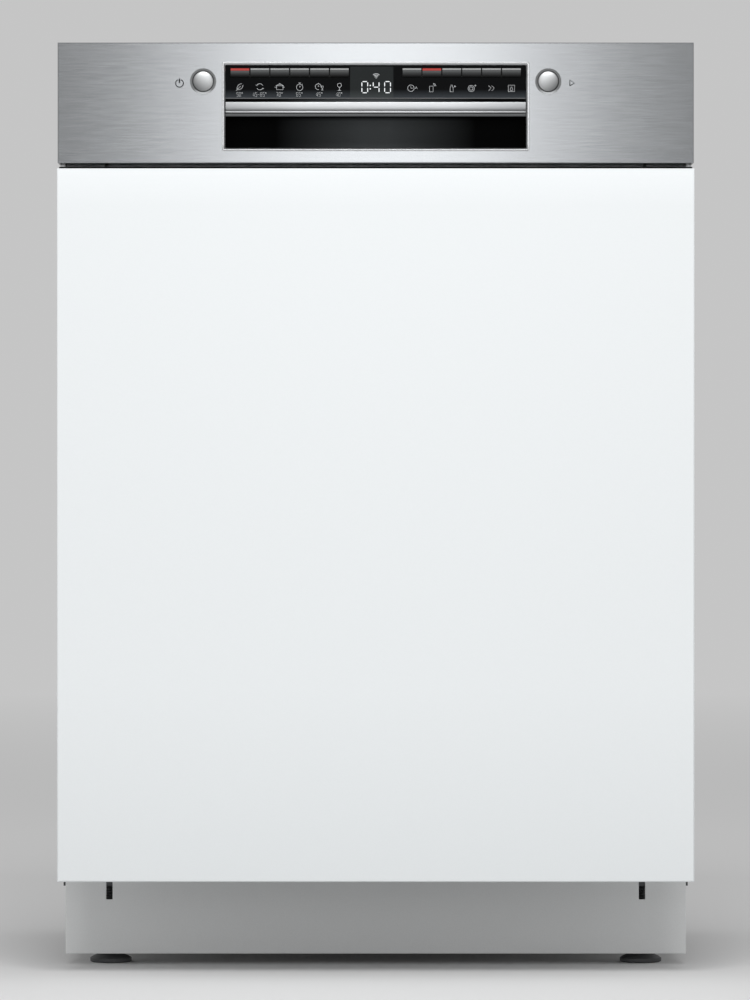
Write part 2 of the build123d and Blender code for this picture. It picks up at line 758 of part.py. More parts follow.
with BuildPart() as detergent_dispenser:
    with BuildSketch(front(face_y)) as rim_shape:
        span(-DISPENSER_WIDTH / 2, DISPENSER_WIDTH / 2, dispenser_bottom, dispenser_top)
        chamfer(rim_shape.vertices(), length=DISPENSER_RIM)
    extrude(amount=DISPENSER_FACE)
    with BuildSketch(front(liner_y)):
        span(
            -DISPENSER_WIDTH / 2 + DISPENSER_RIM + TRIM_FIT,
            DISPENSER_WIDTH / 2 - DISPENSER_RIM - TRIM_FIT,
            dispenser_bottom + DISPENSER_RIM + TRIM_FIT,
            dispenser_top - DISPENSER_RIM - TRIM_FIT,
        )
    extrude(amount=DISPENSER_DEPTH)
    with BuildSketch(level(lid_bottom - LID_TRAVEL)):
        span(CUP_X - guide_inner - LID_LAP, CUP_X - guide_inner, face_y, guide_back + GUIDE_LIP)
        span(CUP_X - guide_inner, CUP_X - guide_inner + GUIDE_LIP, guide_back, guide_back + GUIDE_LIP)
        span(CUP_X + guide_inner, CUP_X + guide_inner + LID_LAP, face_y, guide_back + GUIDE_LIP)
        span(CUP_X + guide_inner - GUIDE_LIP, CUP_X + guide_inner, guide_back, guide_back + GUIDE_LIP)
    extrude(amount=lid_top - lid_bottom + LID_TRAVEL)
    with BuildSketch(front(face_y)) as cup_mouth:
        span(CUP_X - CUP_WIDTH / 2, CUP_X + CUP_WIDTH / 2, cup_bottom, cup_top)
        chamfer(cup_mouth.vertices(), length=CUP_CORNER)
    extrude(amount=CUP_DEPTH, taper=CUP_ANGLE, mode=Mode.SUBTRACT)
    with BuildSketch(front(face_y)):
        with Locations((CAP_X, cap_bottom + CAP_SIZE / 2)):
            Circle(FILLER_RADIUS)
    extrude(amount=CUP_DEPTH, mode=Mode.SUBTRACT)
detergent_dispenser.part.label = "detergent_dispenser"
export_step(detergent_dispenser.part, "parts/detergent_dispenser.step")

with BuildPart() as dispenser_lid:
    with BuildSketch(front(lid_y + LID_SHEET)):
        span(CUP_X - lid_half, CUP_X + lid_half, lid_bottom, lid_top)
    extrude(amount=LID_SHEET)
    with BuildSketch(front(lid_y + LID_SHEET + GUIDE_LIP)):
        with Locations((CUP_X, lid_top - 3 * LID_LAP)):
            Rectangle(CUP_WIDTH / 2, LID_LAP)
            with Locations((0, -2 * LID_LAP)):
                Rectangle(CUP_WIDTH / 2, LID_LAP)
    extrude(amount=GUIDE_LIP)
dispenser_lid.part.label = "dispenser_lid"
export_step(dispenser_lid.part, "parts/dispenser_lid.step")

with BuildPart() as rinse_aid_cap:
    with BuildSketch(side(CAP_X - CAP_SIZE / 2)):
        with Locations((cap_axis_y, cap_axis_z)):
            Circle(CAP_THICKNESS / 2)
        span(lid_y, lid_y + CAP_THICKNESS, cap_axis_z, cap_bottom + CAP_SIZE)
    extrude(amount=CAP_SIZE)
    chamfer(rinse_aid_cap.faces().sort_by(Axis.Z)[-1].edges().sort_by(Axis.Y)[-1], length=LID_SHEET)
rinse_aid_cap.part.label = "rinse_aid_cap"
export_step(rinse_aid_cap.part, "parts/rinse_aid_cap.step")

# Tub: a drawn stainless box, open to the front, with the flange that the gasket sits on

with BuildPart() as tub:
    with BuildSketch(front(tub_rear)):
        span(-tub_half, tub_half, tub_bottom, tub_top)
    extrude(amount=tub_rear - mouth_y)
    fillet(tub.edges().filter_by(Axis.Y), radius=TUB_CORNER)
    offset(amount=-TUB_WALL, openings=tub.faces().sort_by(Axis.Y)[0])
    with BuildSketch(front(flange_rear)):
        span(-flange_half, flange_half, flange_foot, flange_top)
        span(-tongue_width / 2, tongue_width / 2, TUB_FLOOR - TUB_APRON, flange_foot)
        with Locations((0, (TUB_FLOOR + tub_ceiling) / 2)):
            RectangleRounded(
                2 * tub_inner, tub_ceiling - TUB_FLOOR, TUB_CORNER - TUB_WALL, mode=Mode.SUBTRACT
            )
    extrude(amount=TUB_WALL)
    with BuildSketch(level(tub_bottom)):
        basin_outline(TRIM_FIT)
        with Locations((SALT_X, SALT_Y)):
            Circle(SALT_NECK + TRIM_FIT)
    extrude(amount=TUB_WALL, mode=Mode.SUBTRACT)
tub.part.label = "tub"
export_step(tub.part, "parts/tub.step")

# Door gasket: three sides round the mouth and a lip along the bottom

gasket_half = tub_half + GASKET_INSET
gasket_top = tub_top + TUB_WALL
with BuildPart() as door_gasket:
    for inset, depth in ((0, GASKET_DEPTH / 2), (GASKET_STEP, GASKET_DEPTH)):
        with BuildSketch(front(mouth_y)) as gasket_shape:
            outer_half = gasket_half + GASKET_WIDTH - inset
            span(-outer_half, outer_half, flange_foot, gasket_top + GASKET_WIDTH - inset)
            fillet(gasket_shape.vertices().group_by(Axis.Y)[-1], radius=TUB_CORNER)
            inner_half = gasket_half + inset
            span(-inner_half, inner_half, flange_foot, gasket_top + inset, mode=Mode.SUBTRACT)
            span(
                -tongue_width / 2 + GASKET_INSET,
                tongue_width / 2 - GASKET_INSET,
                tub_bottom - GASKET_WIDTH + inset,
                tub_bottom - inset,
            )
        extrude(amount=depth)
door_gasket.part.label = "door_gasket"
export_step(door_gasket.part, "parts/door_gasket.step")

# Striker: a plate on the tub flange with a forward loop that the lock catches

with BuildPart() as door_striker:
    striker_foot = mouth_y - 2 * TUB_WALL
    with BuildSketch(front(mouth_y)):
        span(-STRIKER_WIDTH, STRIKER_WIDTH, gasket_top + GASKET_WIDTH + SLIDE_FIT, flange_top - TUB_WALL)
    extrude(amount=2 * TUB_WALL)
    with BuildSketch(level(striker_mid - STRIKER_THICKNESS / 2)) as loop:
        span(-STRIKER_WIDTH / 2, STRIKER_WIDTH / 2, striker_foot - STRIKER_REACH, striker_foot)
        fillet(loop.vertices().group_by(Axis.Y)[0], radius=STRIKER_THICKNESS)
        with Locations((0, striker_foot - STRIKER_REACH / 2)):
            Rectangle(STRIKER_WIDTH / 2, STRIKER_REACH / 2, mode=Mode.SUBTRACT)
    extrude(amount=STRIKER_THICKNESS)
door_striker.part.label = "door_striker"
export_step(door_striker.part, "parts/door_striker.step")

# Hinge brackets on the base, each with its pin

with BuildPart() as hinge_brackets:
    with BuildSketch(side(bracket_x)):
        with Locations((hinge_y, hinge_z)):
            RegularPolygon(BRACKET_EYE, EYE_SIDES)
        span(hinge_y, base_front, hinge_z - BRACKET_EYE, hinge_z + BRACKET_EYE)
    extrude(amount=BRACKET_PLATE)
    with BuildSketch(front(base_front)):
        span(bracket_x, bracket_x + BRACKET_FOOT, hinge_z - BRACKET_EYE, hinge_z + BRACKET_EYE)
    extrude(amount=BRACKET_PLATE)
    with BuildSketch(side(bracket_x)):
        with Locations((hinge_y, hinge_z)):
            Circle(PIN_RADIUS)
    extrude(amount=-(ARM_PLATE + 2 * BRACKET_GAP))
    mirror(about=Plane.YZ)
hinge_brackets.part.label = "hinge_brackets"
export_step(hinge_brackets.part, "parts/hinge_brackets.step")

# Door springs: close-wound bodies with a hook at each end

with BuildPart() as door_springs:
    with BuildSketch(front(spring_rear - SPRING_RADIUS)):
        with Locations((spring_x, spring_z), (-spring_x, spring_z)):
            RegularPolygon(SPRING_RADIUS, ROUND_SIDES)
    extrude(amount=SPRING_LENGTH - 2 * SPRING_RADIUS)
    with BuildSketch(front(spring_rear)):
        with Locations((spring_x, spring_z), (-spring_x, spring_z)):
            Rectangle(2 * SPRING_HOOK, 2 * SPRING_HOOK)
    extrude(amount=SPRING_LENGTH)
door_springs.part.label = "door_springs"
export_step(door_springs.part, "parts/door_springs.step")

# Base tray: a moulded trough with a tower over each foot and a post for each spring

foot_places = [(-foot_x, front_foot_y), (foot_x, front_foot_y), (0, rear_foot_y)]
spring_post_y = spring_rear + SLIDE_FIT + SPRING_RADIUS
connection_z = BASE_BOTTOM + CONNECTION_LEVEL
spindle_z = BASE_BOTTOM + SPINDLE_LEVEL

with BuildPart() as base_tray:
    with BuildSketch(level(BASE_BOTTOM)) as base_outline:
        span(-case_half, case_half, base_front, base_rear)
        chamfer(base_outline.vertices().group_by(Axis.Y)[-1], length=BASE_CORNER)
    extrude(amount=base_top - BASE_BOTTOM)
    with BuildSketch(level(base_floor)) as base_inside:
        span(-case_half + BASE_WALL, case_half - BASE_WALL, base_front + BASE_WALL, base_rear - BASE_WALL)
        chamfer(base_inside.vertices().group_by(Axis.Y)[-1], length=BASE_CORNER)
    extrude(amount=base_top - base_floor, mode=Mode.SUBTRACT)
    with BuildSketch(level(BASE_BOTTOM)):
        with Locations(*foot_places):
            Rectangle(2 * tower_radius, 2 * tower_radius)
    extrude(amount=base_top - BASE_BOTTOM)
    with BuildSketch(level(BASE_BOTTOM)):
        with Locations(*foot_places):
            Circle(tower_bore)
    extrude(amount=FOOT_GRIP + FOOT_TRAVEL + TOWER_WALL, mode=Mode.SUBTRACT)
    with BuildSketch(level(base_floor)):
        with Locations((-spring_x, spring_post_y), (spring_x, spring_post_y)):
            Rectangle(2 * SPRING_RADIUS, 2 * SPRING_RADIUS)
    extrude(amount=base_top - base_floor)
    with BuildSketch(front(base_front + BASE_WALL)):
        notch_half = SPRING_RADIUS + BASE_WALL
        span(-spring_x - notch_half, -spring_x + notch_half, spring_z - notch_half, base_top)
        span(spring_x - notch_half, spring_x + notch_half, spring_z - notch_half, base_top)
    extrude(amount=BASE_WALL, mode=Mode.SUBTRACT)
    with BuildSketch(front(base_front + BASE_WALL)):
        with Locations((0, spindle_z)):
            RegularPolygon(SPINDLE_HEAD + ROUND_FIT, ROUND_SIDES, major_radius=False)
    extrude(amount=BASE_WALL, mode=Mode.SUBTRACT)
base_tray.part.label = "base_tray"
export_step(base_tray.part, "parts/base_tray.step")

# Feet: a broad pad on a screwed stem; the front ones have a spanner flat

for foot_name, foot_place, nut in (
    ("front_left_foot", foot_places[0], True),
    ("front_right_foot", foot_places[1], True),
    ("rear_foot", foot_places[2], False),
):
    with BuildPart() as foot:
        with BuildSketch(level(0)):
            with Locations(foot_place):
                RegularPolygon(FOOT_PAD, ROUND_SIDES)
        extrude(amount=FOOT_PAD_HEIGHT / 2)
        with BuildSketch(level(FOOT_PAD_HEIGHT / 2)):
            with Locations(foot_place):
                RegularPolygon(FOOT_PAD, ROUND_SIDES)
        extrude(amount=FOOT_PAD_HEIGHT / 2, taper=PAD_ANGLE)
        with BuildSketch(level(FOOT_PAD_HEIGHT)):
            with Locations(foot_place):
                RegularPolygon(FOOT_STEM, ROUND_SIDES)
        extrude(amount=BASE_BOTTOM + FOOT_GRIP - FOOT_PAD_HEIGHT)
        if nut:
            with BuildSketch(level(FOOT_PAD_HEIGHT)):
                with Locations(foot_place):
                    RegularPolygon(FOOT_NUT, HEX_SIDES)
            extrude(amount=FOOT_NUT_HEIGHT)
    foot.part.label = foot_name
    export_step(foot.part, f"parts/{foot_name}.step")

# Spindle that drives the rear foot from the front

with BuildPart() as rear_foot_spindle:
    spindle_end = rear_foot_y - tower_radius - SLIDE_FIT
    with BuildSketch(front(spindle_end)):
        with Locations((0, spindle_z)):
            Circle(SPINDLE_RADIUS)
    extrude(amount=spindle_end - base_front - BASE_WALL)
    with BuildSketch(front(base_front + BASE_WALL)):
        with Locations((0, spindle_z)):
            RegularPolygon(SPINDLE_HEAD, ROUND_SIDES)
            RegularPolygon(SPINDLE_RADIUS, HEX_SIDES, mode=Mode.SUBTRACT)
    extrude(amount=BASE_WALL - SLIDE_FIT)
    with BuildSketch(front(base_front + 2 * BASE_WALL)):
        with Locations((0, spindle_z)):
            RegularPolygon(SPINDLE_HEAD, ROUND_SIDES)
    extrude(amount=BASE_WALL)
rear_foot_spindle.part.label = "rear_foot_spindle"
export_step(rear_foot_spindle.part, "parts/rear_foot_spindle.step")

# Kick plate: a folded sheet in front of the base, slotted for its height

kick_top = BASE_BOTTOM + KICK_OVERLAP
with BuildPart() as kick_plate:
    with BuildSketch(side(-kick_width / 2)):
        span(kick_back - KICK_SHEET, kick_back, KICK_LIFT, kick_top)
        span(kick_back - KICK_SHEET, kick_back + KICK_LIP, KICK_LIFT, KICK_LIFT + KICK_SHEET)
    extrude(amount=kick_width)
    with BuildSketch(front(kick_back)):
        with Locations((-foot_x, kick_top - KICK_SLOT), (foot_x, kick_top - KICK_SLOT)):
            Rectangle(FOOT_NUT_HEIGHT, KICK_SLOT)
    extrude(amount=KICK_SHEET, mode=Mode.SUBTRACT)
kick_plate.part.label = "kick_plate"
export_step(kick_plate.part, "parts/kick_plate.step")

# Side panels: folded sheets with pressed swages

with BuildPart() as side_panels:
    with BuildSketch(level(base_top)):
        span(case_half - CASE_RETURN, case_half, flange_rear, case_rear)
        span(
            case_half - CASE_RETURN,
            case_half - CASE_SHEET,
            flange_rear + CASE_SHEET,
            case_rear - CASE_SHEET,
            mode=Mode.SUBTRACT,
        )
    extrude(amount=HEIGHT - base_top)
    with BuildSketch(side(case_half)):
        with Locations((0, (base_top + HEIGHT) / 2)):
            with GridLocations(0, (HEIGHT - base_top) / (SWAGES + 1), 1, SWAGES):
                Rectangle(DEPTH * SWAGE_SHARE, 2 * CASE_RETURN)
    extrude(amount=-CASE_SHEET / 2, mode=Mode.SUBTRACT)
    mirror(about=Plane.YZ)
side_panels.part.label = "side_panels"
export_step(side_panels.part, "parts/side_panels.step")

# Rear panel with upright swages

with BuildPart() as rear_panel:
    with BuildSketch(front(rear_y)):
        span(-case_half, case_half, base_top, HEIGHT)
    extrude(amount=CASE_SHEET)
    with BuildSketch(front(rear_y)):
        with Locations((0, (base_top + HEIGHT) / 2)):
            with GridLocations(WIDTH / (SWAGES + 1), 0, SWAGES, 1):
                Rectangle(2 * CASE_RETURN, (HEIGHT - base_top) * SWAGE_SHARE)
    extrude(amount=CASE_SHEET / 2, mode=Mode.SUBTRACT)
rear_panel.part.label = "rear_panel"
export_step(rear_panel.part, "parts/rear_panel.step")

# Top panel: a shallow tray turned over

with BuildPart() as top_panel:
    top_half = case_half - CASE_SHEET
    top_front = flange_rear + TOP_SETBACK
    with BuildSketch(level(HEIGHT - TOP_LIP)):
        span(-top_half, top_half, top_front, case_rear)
    extrude(amount=TOP_LIP)
    with BuildSketch(level(HEIGHT - TOP_LIP)):
        span(-top_half + CASE_SHEET, top_half - CASE_SHEET, top_front + CASE_SHEET, case_rear - CASE_SHEET)
    extrude(amount=TOP_LIP - CASE_SHEET, mode=Mode.SUBTRACT)
    with BuildSketch(level(HEIGHT - TOP_LIP)):
        span(case_half - CASE_RETURN, case_half, case_rear - 2 * CASE_SHEET, case_rear)
        span(-case_half, -case_half + CASE_RETURN, case_rear - 2 * CASE_SHEET, case_rear)
    extrude(amount=TOP_LIP, mode=Mode.SUBTRACT)
top_panel.part.label = "top_panel"
export_step(top_panel.part, "parts/top_panel.step")

# Worktop brackets: screw tabs over the door, hooked behind the tub flange

with BuildPart() as worktop_brackets:
    tab_x = TAB_DISTANCE / 2
    with BuildSketch(side(tab_x - TAB_WIDTH / 2)):
        span(mouth_y - TAB_REACH, flange_rear + TAB_SHEET, HEIGHT - TAB_SHEET, HEIGHT)
        span(flange_rear, flange_rear + TAB_SHEET, HEIGHT - TOP_LIP, HEIGHT)
    extrude(amount=TAB_WIDTH)
    with BuildSketch(level(HEIGHT)):
        with Locations((tab_x, mouth_y - TAB_REACH / 2)):
            Circle(TAB_HOLE)
    extrude(amount=-TAB_SHEET, mode=Mode.SUBTRACT)
    mirror(about=Plane.YZ)
worktop_brackets.part.label = "worktop_brackets"
export_step(worktop_brackets.part, "parts/worktop_brackets.step")

# Sump: a basin clamped in the tub floor, with the post of the lower spray arm

with BuildPart() as sump:
    with BuildSketch(level(TUB_FLOOR)):
        basin_outline(SUMP_LIP)
    extrude(amount=SUMP_LIP_HEIGHT)
    with BuildSketch(level(sump_bottom)):
        basin_outline(0)
    extrude(amount=SUMP_DEPTH)
    with BuildSketch(level(sump_bottom + SUMP_WALL)):
        basin_outline(-SUMP_WALL)
    extrude(amount=SUMP_DEPTH, mode=Mode.SUBTRACT)
    with BuildSketch(level(sump_bottom)):
        with Locations((0, HUB_Y)):
            RegularPolygon(HUB_POST, ROUND_SIDES)
    extrude(amount=hub_top - sump_bottom)
    with BuildSketch(level(hub_top)):
        with Locations((0, HUB_Y)):
            Circle(HUB_PIN)
    extrude(amount=ARM_THICKNESS)
sump.part.label = "sump"
export_step(sump.part, "parts/sump.step")

with BuildPart() as flat_filter:
    with BuildSketch(level(sump_top)):
        basin_outline(0)
        with Locations((0, FILTER_Y)):
            RegularPolygon(FILTER_RADIUS + 2 * ROUND_FIT, CAP_SIDES, mode=Mode.SUBTRACT)
        with Locations((0, HUB_Y)):
            RegularPolygon(HUB_POST + ROUND_FIT, ROUND_SIDES, mode=Mode.SUBTRACT)
    extrude(amount=filter_top - sump_top)
flat_filter.part.label = "flat_filter"
export_step(flat_filter.part, "parts/flat_filter.step")

with BuildPart() as filter_cylinder:
    with BuildSketch(level(filter_top - FILTER_HEIGHT)):
        with Locations((0, FILTER_Y)):
            Circle(FILTER_RADIUS)
    extrude(amount=FILTER_HEIGHT + SLIDE_FIT)
    with BuildSketch(level(filter_top + SLIDE_FIT)):
        with Locations((0, FILTER_Y)):
            RegularPolygon(FILTER_RADIUS + FILTER_LIP, CAP_SIDES)
    extrude(amount=FILTER_LIP / 2)
    with BuildSketch(level(filter_top + SLIDE_FIT + FILTER_LIP / 2)):
        with Locations((0, FILTER_Y)):
            Rectangle(FILTER_GRIP_LENGTH, FILTER_GRIP_WIDTH)
    extrude(amount=FILTER_GRIP)
filter_cylinder.part.label = "filter_cylinder"
export_step(filter_cylinder.part, "parts/filter_cylinder.step")

# Pumps under the tub, on the sump's spigots

pump_z = base_top - PUMP_VOLUTE - BASE_WALL
pump_x = SUMP_WIDTH / 2
volute_x = pump_x + PUMP_SPIGOT
with BuildPart() as circulation_pump:
    for start, end, radius in (
        (pump_x, volute_x, PUMP_SPIGOT),
        (volute_x, volute_x + PUMP_VOLUTE_WIDTH, PUMP_VOLUTE),
        (volute_x + PUMP_VOLUTE_WIDTH, pump_x + PUMP_LENGTH, PUMP_MOTOR),
    ):
        with BuildSketch(side(start)):
            with Locations((SUMP_Y, pump_z)):
                RegularPolygon(radius, ROUND_SIDES)
        extrude(amount=end - start)
circulation_pump.part.label = "circulation_pump"
export_step(circulation_pump.part, "parts/circulation_pump.step")

drain_z = sump_bottom + DRAIN_RADIUS + SUMP_WALL
drain_y = SUMP_Y + SUMP_LENGTH / 2
with BuildPart() as drain_pump:
    for start, end, radius in (
        (drain_y, drain_y + DRAIN_SPIGOT, DRAIN_SPIGOT),
        (drain_y + DRAIN_SPIGOT, drain_y + DRAIN_LENGTH, DRAIN_RADIUS),
    ):
        with BuildSketch(front(end)):
            with Locations((0, drain_z)):
                RegularPolygon(radius, ROUND_SIDES)
        extrude(amount=end - start)
drain_pump.part.label = "drain_pump"
export_step(drain_pump.part, "parts/drain_pump.step")

# Softener tank with the salt neck through the tub floor, and its cap

with BuildPart() as softener_tank:
    with BuildSketch(level(base_top - TANK_HEIGHT)):
        with Locations((SALT_X, SALT_Y + TANK_LENGTH / 4)):
            Rectangle(TANK_WIDTH, TANK_LENGTH)
    extrude(amount=TANK_HEIGHT)
    with BuildSketch(level(base_top)):
        with Locations((SALT_X, SALT_Y)):
            RegularPolygon(SALT_NECK, ROUND_SIDES)
    extrude(amount=sump_top - base_top)
    with BuildSketch(level(TUB_FLOOR)):
        with Locations((SALT_X, SALT_Y)):
            RegularPolygon(SALT_NECK + SUMP_LIP, ROUND_SIDES)
    extrude(amount=SUMP_LIP_HEIGHT)
softener_tank.part.label = "softener_tank"
export_step(softener_tank.part, "parts/softener_tank.step")

with BuildPart() as salt_cap:
    with BuildSketch(level(sump_top + SLIDE_FIT)):
        with Locations((SALT_X, SALT_Y)):
            RegularPolygon(SALT_NECK + SUMP_LIP / 2, CAP_SIDES)
    extrude(amount=SALT_CAP_HEIGHT, taper=SALT_ANGLE)
    with BuildSketch(level(sump_top + SLIDE_FIT + SALT_CAP_HEIGHT)):
        with Locations((SALT_X, SALT_Y)):
            Rectangle(SALT_GRIP_LENGTH, SALT_GRIP_WIDTH)
    extrude(amount=SALT_GRIP)
salt_cap.part.label = "salt_cap"
export_step(salt_cap.part, "parts/salt_cap.step")

# Water feed: a flat pipe along the floor, up the rear wall and under the ceiling, with a port for
# the upper rack and a ceiling nozzle

with BuildPart() as feed_pipe:
    pipe_start = SUMP_Y + SUMP_LENGTH / 2 + SUMP_LIP
    with BuildLine() as pipe_route:
        FilletPolyline(
            (0, pipe_start, pipe_low),
            (0, pipe_back, pipe_low),
            (0, pipe_back, pipe_high),
            (0, HUB_Y, pipe_high),
            radius=PIPE_BEND,
        )
    with BuildSketch(Plane((0, pipe_start, pipe_low), x_dir=(1, 0, 0), z_dir=(0, 1, 0))):
        Rectangle(PIPE_WIDTH, PIPE_DEPTH)
    sweep(path=pipe_route.wire())
    with BuildSketch(level(pipe_high - PIPE_DEPTH / 2 - NOZZLE_HEIGHT)):
        with Locations((0, HUB_Y)):
            RegularPolygon(NOZZLE_RADIUS, ROUND_SIDES)
    extrude(amount=NOZZLE_HEIGHT + PIPE_DEPTH / 2)
    with BuildSketch(front(pipe_front + PIPE_DEPTH / 2)):
        with Locations((0, port_z)):
            RegularPolygon(PORT_RADIUS, ROUND_SIDES)
    extrude(amount=PORT_REACH + PIPE_DEPTH / 2)
    with BuildSketch(front(tub_back)):
        with Locations((0, (pipe_low + port_z) / 2), (0, (port_z + pipe_high) / 2)):
            Rectangle(PIPE_WIDTH - 2 * PIPE_CORNER, PIPE_DEPTH)
    extrude(amount=PIPE_STANDOFF + PIPE_DEPTH / 2)
    with BuildSketch(level(TUB_FLOOR)):
        with Locations((0, (pipe_start + pipe_back) / 2)):
            Rectangle(PIPE_WIDTH - 2 * PIPE_CORNER, PIPE_DEPTH)
    extrude(amount=PIPE_STANDOFF + PIPE_DEPTH / 2)
feed_pipe.part.label = "feed_pipe"
export_step(feed_pipe.part, "parts/feed_pipe.step")

# Spray arms: tapered blades with a bored hub and a row of slot jets on each side

for arm_name, arm_z, reach in (
    ("lower_spray_arm", lower_arm_z, ARM_REACH_LOW),
    ("upper_spray_arm", upper_arm_z, ARM_REACH_TOP),
):
    with BuildPart() as spray_arm:
        with BuildSketch(level(arm_z)):
            with Locations((0, HUB_Y)):
                Circle(ARM_HUB)
            with Locations((-reach + ARM_TIP, HUB_Y), (reach - ARM_TIP, HUB_Y)):
                RegularPolygon(ARM_TIP, EYE_SIDES)
            make_hull()
        extrude(amount=ARM_THICKNESS)
        jet_pitch = (reach - ARM_HUB - ARM_TIP) / NOZZLES
        with BuildSketch(level(arm_z + ARM_THICKNESS)):
            for jet in range(NOZZLES):
                jet_x = ARM_HUB + jet_pitch * (jet + 0.5)
                with Locations((-jet_x, HUB_Y + NOZZLE_SLOT), (jet_x, HUB_Y - NOZZLE_SLOT)):
                    Rectangle(NOZZLE_SLOT, 3 * NOZZLE_SLOT)
        extrude(amount=-NOZZLE_SLOT, mode=Mode.SUBTRACT)
        with BuildSketch(level(arm_z)):
            with Locations((0, HUB_Y)):
                Circle(HUB_PIN + PIN_FIT)
        extrude(amount=ARM_THICKNESS, mode=Mode.SUBTRACT)
    spray_arm.part.label = arm_name
    export_step(spray_arm.part, f"parts/{arm_name}.step")


def wire_section():
    """Square wire section, so that crossing wires meet flat on flat."""
    Rectangle(WIRE, WIRE)


def wire_rack(half, floor_z, front_top, side_top, rail_z):
    """Straight wires of a rack: two floor layers, uprights on four sides, rims and rails."""
    inner = half - 4 * wire_half
    inner_front = rack_front + 4 * wire_half
    inner_rear = rack_rear - 4 * wire_half
    along = [(-1 + 2 * (i + 0.5) / WIRES_ALONG) * (inner - wire_half) for i in range(WIRES_ALONG)]
    depth = inner_rear - inner_front - WIRE
    across = [inner_front + wire_half + depth * (i + 0.5) / WIRES_ACROSS for i in range(WIRES_ACROSS)]
    with BuildPart() as cross_wires:
        with BuildSketch(side(-inner)):
            with Locations(*[(y, floor_z + wire_half) for y in across]):
                wire_section()
        extrude(amount=2 * inner)
    with BuildPart() as long_wires:
        with BuildSketch(front(inner_rear)):
            with Locations(*[(x, floor_z + 3 * wire_half) for x in along]):
                wire_section()
        extrude(amount=inner_rear - inner_front)
    with BuildPart() as end_uprights:
        with BuildSketch(level(floor_z)):
            with Locations(*[(x, rack_front + 3 * wire_half) for x in along]):
                wire_section()
        extrude(amount=front_top - floor_z)
        with BuildSketch(level(floor_z)):
            with Locations(*[(x, rack_rear - 3 * wire_half) for x in along]):
                wire_section()
        extrude(amount=side_top - floor_z)
    with BuildPart() as side_uprights:
        upright_x = half - 3 * wire_half
        with BuildSketch(level(floor_z)):
            with Locations(*[(s * upright_x, y) for s in (-1, 1) for y in across]):
                wire_section()
        extrude(amount=side_top - floor_z)
    with BuildPart() as end_rails:
        with BuildSketch(side(-half)):
            with Locations(
                (rack_front + wire_half, front_top - wire_half),
                (rack_front + wire_half, rail_z),
                (rack_rear - wire_half, side_top - wire_half),
                (rack_rear - wire_half, rail_z),
            ):
                wire_section()
        extrude(amount=2 * half)
    with BuildPart() as side_rails:
        side_x = half - wire_half
        with BuildSketch(front(rack_rear - WIRE)):
            with Locations(*[(s * side_x, z) for s in (-1, 1) for z in (rail_z, side_top - wire_half)]):
                wire_section()
        extrude(amount=rack_rear - rack_front - 2 * WIRE)
    wires = (cross_wires, long_wires, end_uprights, side_uprights, end_rails, side_rails)
    return [group.part for group in wires], along


def tine_rows(columns, rows, floor_z, height):
    """Upright tines standing on the upper floor wires."""
    with BuildPart() as tines:
        with BuildSketch(level(floor_z + 4 * wire_half)):
            with Locations(*[(x, rack_front + r * (rack_rear - rack_front)) for x in columns for r in rows]):
                wire_section()
        extrude(amount=height)
    return tines.part


# Lower rack on its wheels

lower_rail_z = lower_z + LOWER_RAIL
lower_wires, lower_columns = wire_rack(
    lower_half, lower_z, lower_z + LOWER_FRONT_WALL, lower_z + LOWER_SIDE_WALL, lower_rail_z
)
half_count = WIRES_ALONG // 2
left_tines = tine_rows(lower_columns[:half_count], LEFT_TINE_ROWS, lower_z, TINE_HEIGHT)
right_tines = tine_rows(lower_columns[-half_count:], RIGHT_TINE_ROWS, lower_z, TINE_HEIGHT)
wheel_z = TUB_FLOOR + WHEEL_RADIUS + SLIDE_FIT
wheel_run = rack_rear - rack_front - 4 * WHEEL_RADIUS
wheel_pitch = wheel_run / (WHEELS_A_SIDE - 1)
wheel_places = [rack_front + 2 * WHEEL_RADIUS + wheel_pitch * i for i in range(WHEELS_A_SIDE)]
with BuildPart() as wheel_plates:
    with BuildSketch(side(lower_half)):
        for wheel_y in wheel_places:
            span(
                wheel_y - WHEEL_PLATE_LENGTH / 2,
                wheel_y + WHEEL_PLATE_LENGTH / 2,
                wheel_z - WHEEL_PLATE_LENGTH / 2,
                lower_rail_z + wire_half,
            )
    extrude(amount=WHEEL_PLATE)
    mirror(about=Plane.YZ)
with BuildPart() as wheels:
    with BuildSketch(side(lower_half + WHEEL_PLATE)):
        with Locations(*[(wheel_y, wheel_z) for wheel_y in wheel_places]):
            RegularPolygon(WHEEL_RADIUS, ROUND_SIDES)
    extrude(amount=WHEEL_WIDTH)
    mirror(about=Plane.YZ)
lower_rack = Compound(
    label="lower_rack", children=[*lower_wires, left_tines, right_tines, wheel_plates.part, wheels.part]
)
export_step(lower_rack, "parts/lower_rack.step")

# Folding row of tines in the lower rack

fold_x = lower_half - 2 * WIRE - FOLD_SIDE_GAP - FOLD_LENGTH / 2
fold_z = lower_z + 4 * wire_half + SLIDE_FIT + FOLD_BAR
with BuildPart() as folding_tines:
    with BuildSketch(side(fold_x - FOLD_LENGTH / 2)):
        with Locations((FOLD_Y, fold_z)):
            Circle(FOLD_BAR)
    extrude(amount=FOLD_LENGTH)
    with BuildSketch(level(fold_z)):
        with Locations((fold_x, FOLD_Y)):
            with GridLocations(FOLD_LENGTH / FOLD_TINES, 0, FOLD_TINES, 1):
                wire_section()
    extrude(amount=TINE_HEIGHT)
folding_tines.part.label = "folding_tines"
export_step(folding_tines.part, "parts/folding_tines.step")

# Cutlery basket: slotted walls and a middle grip

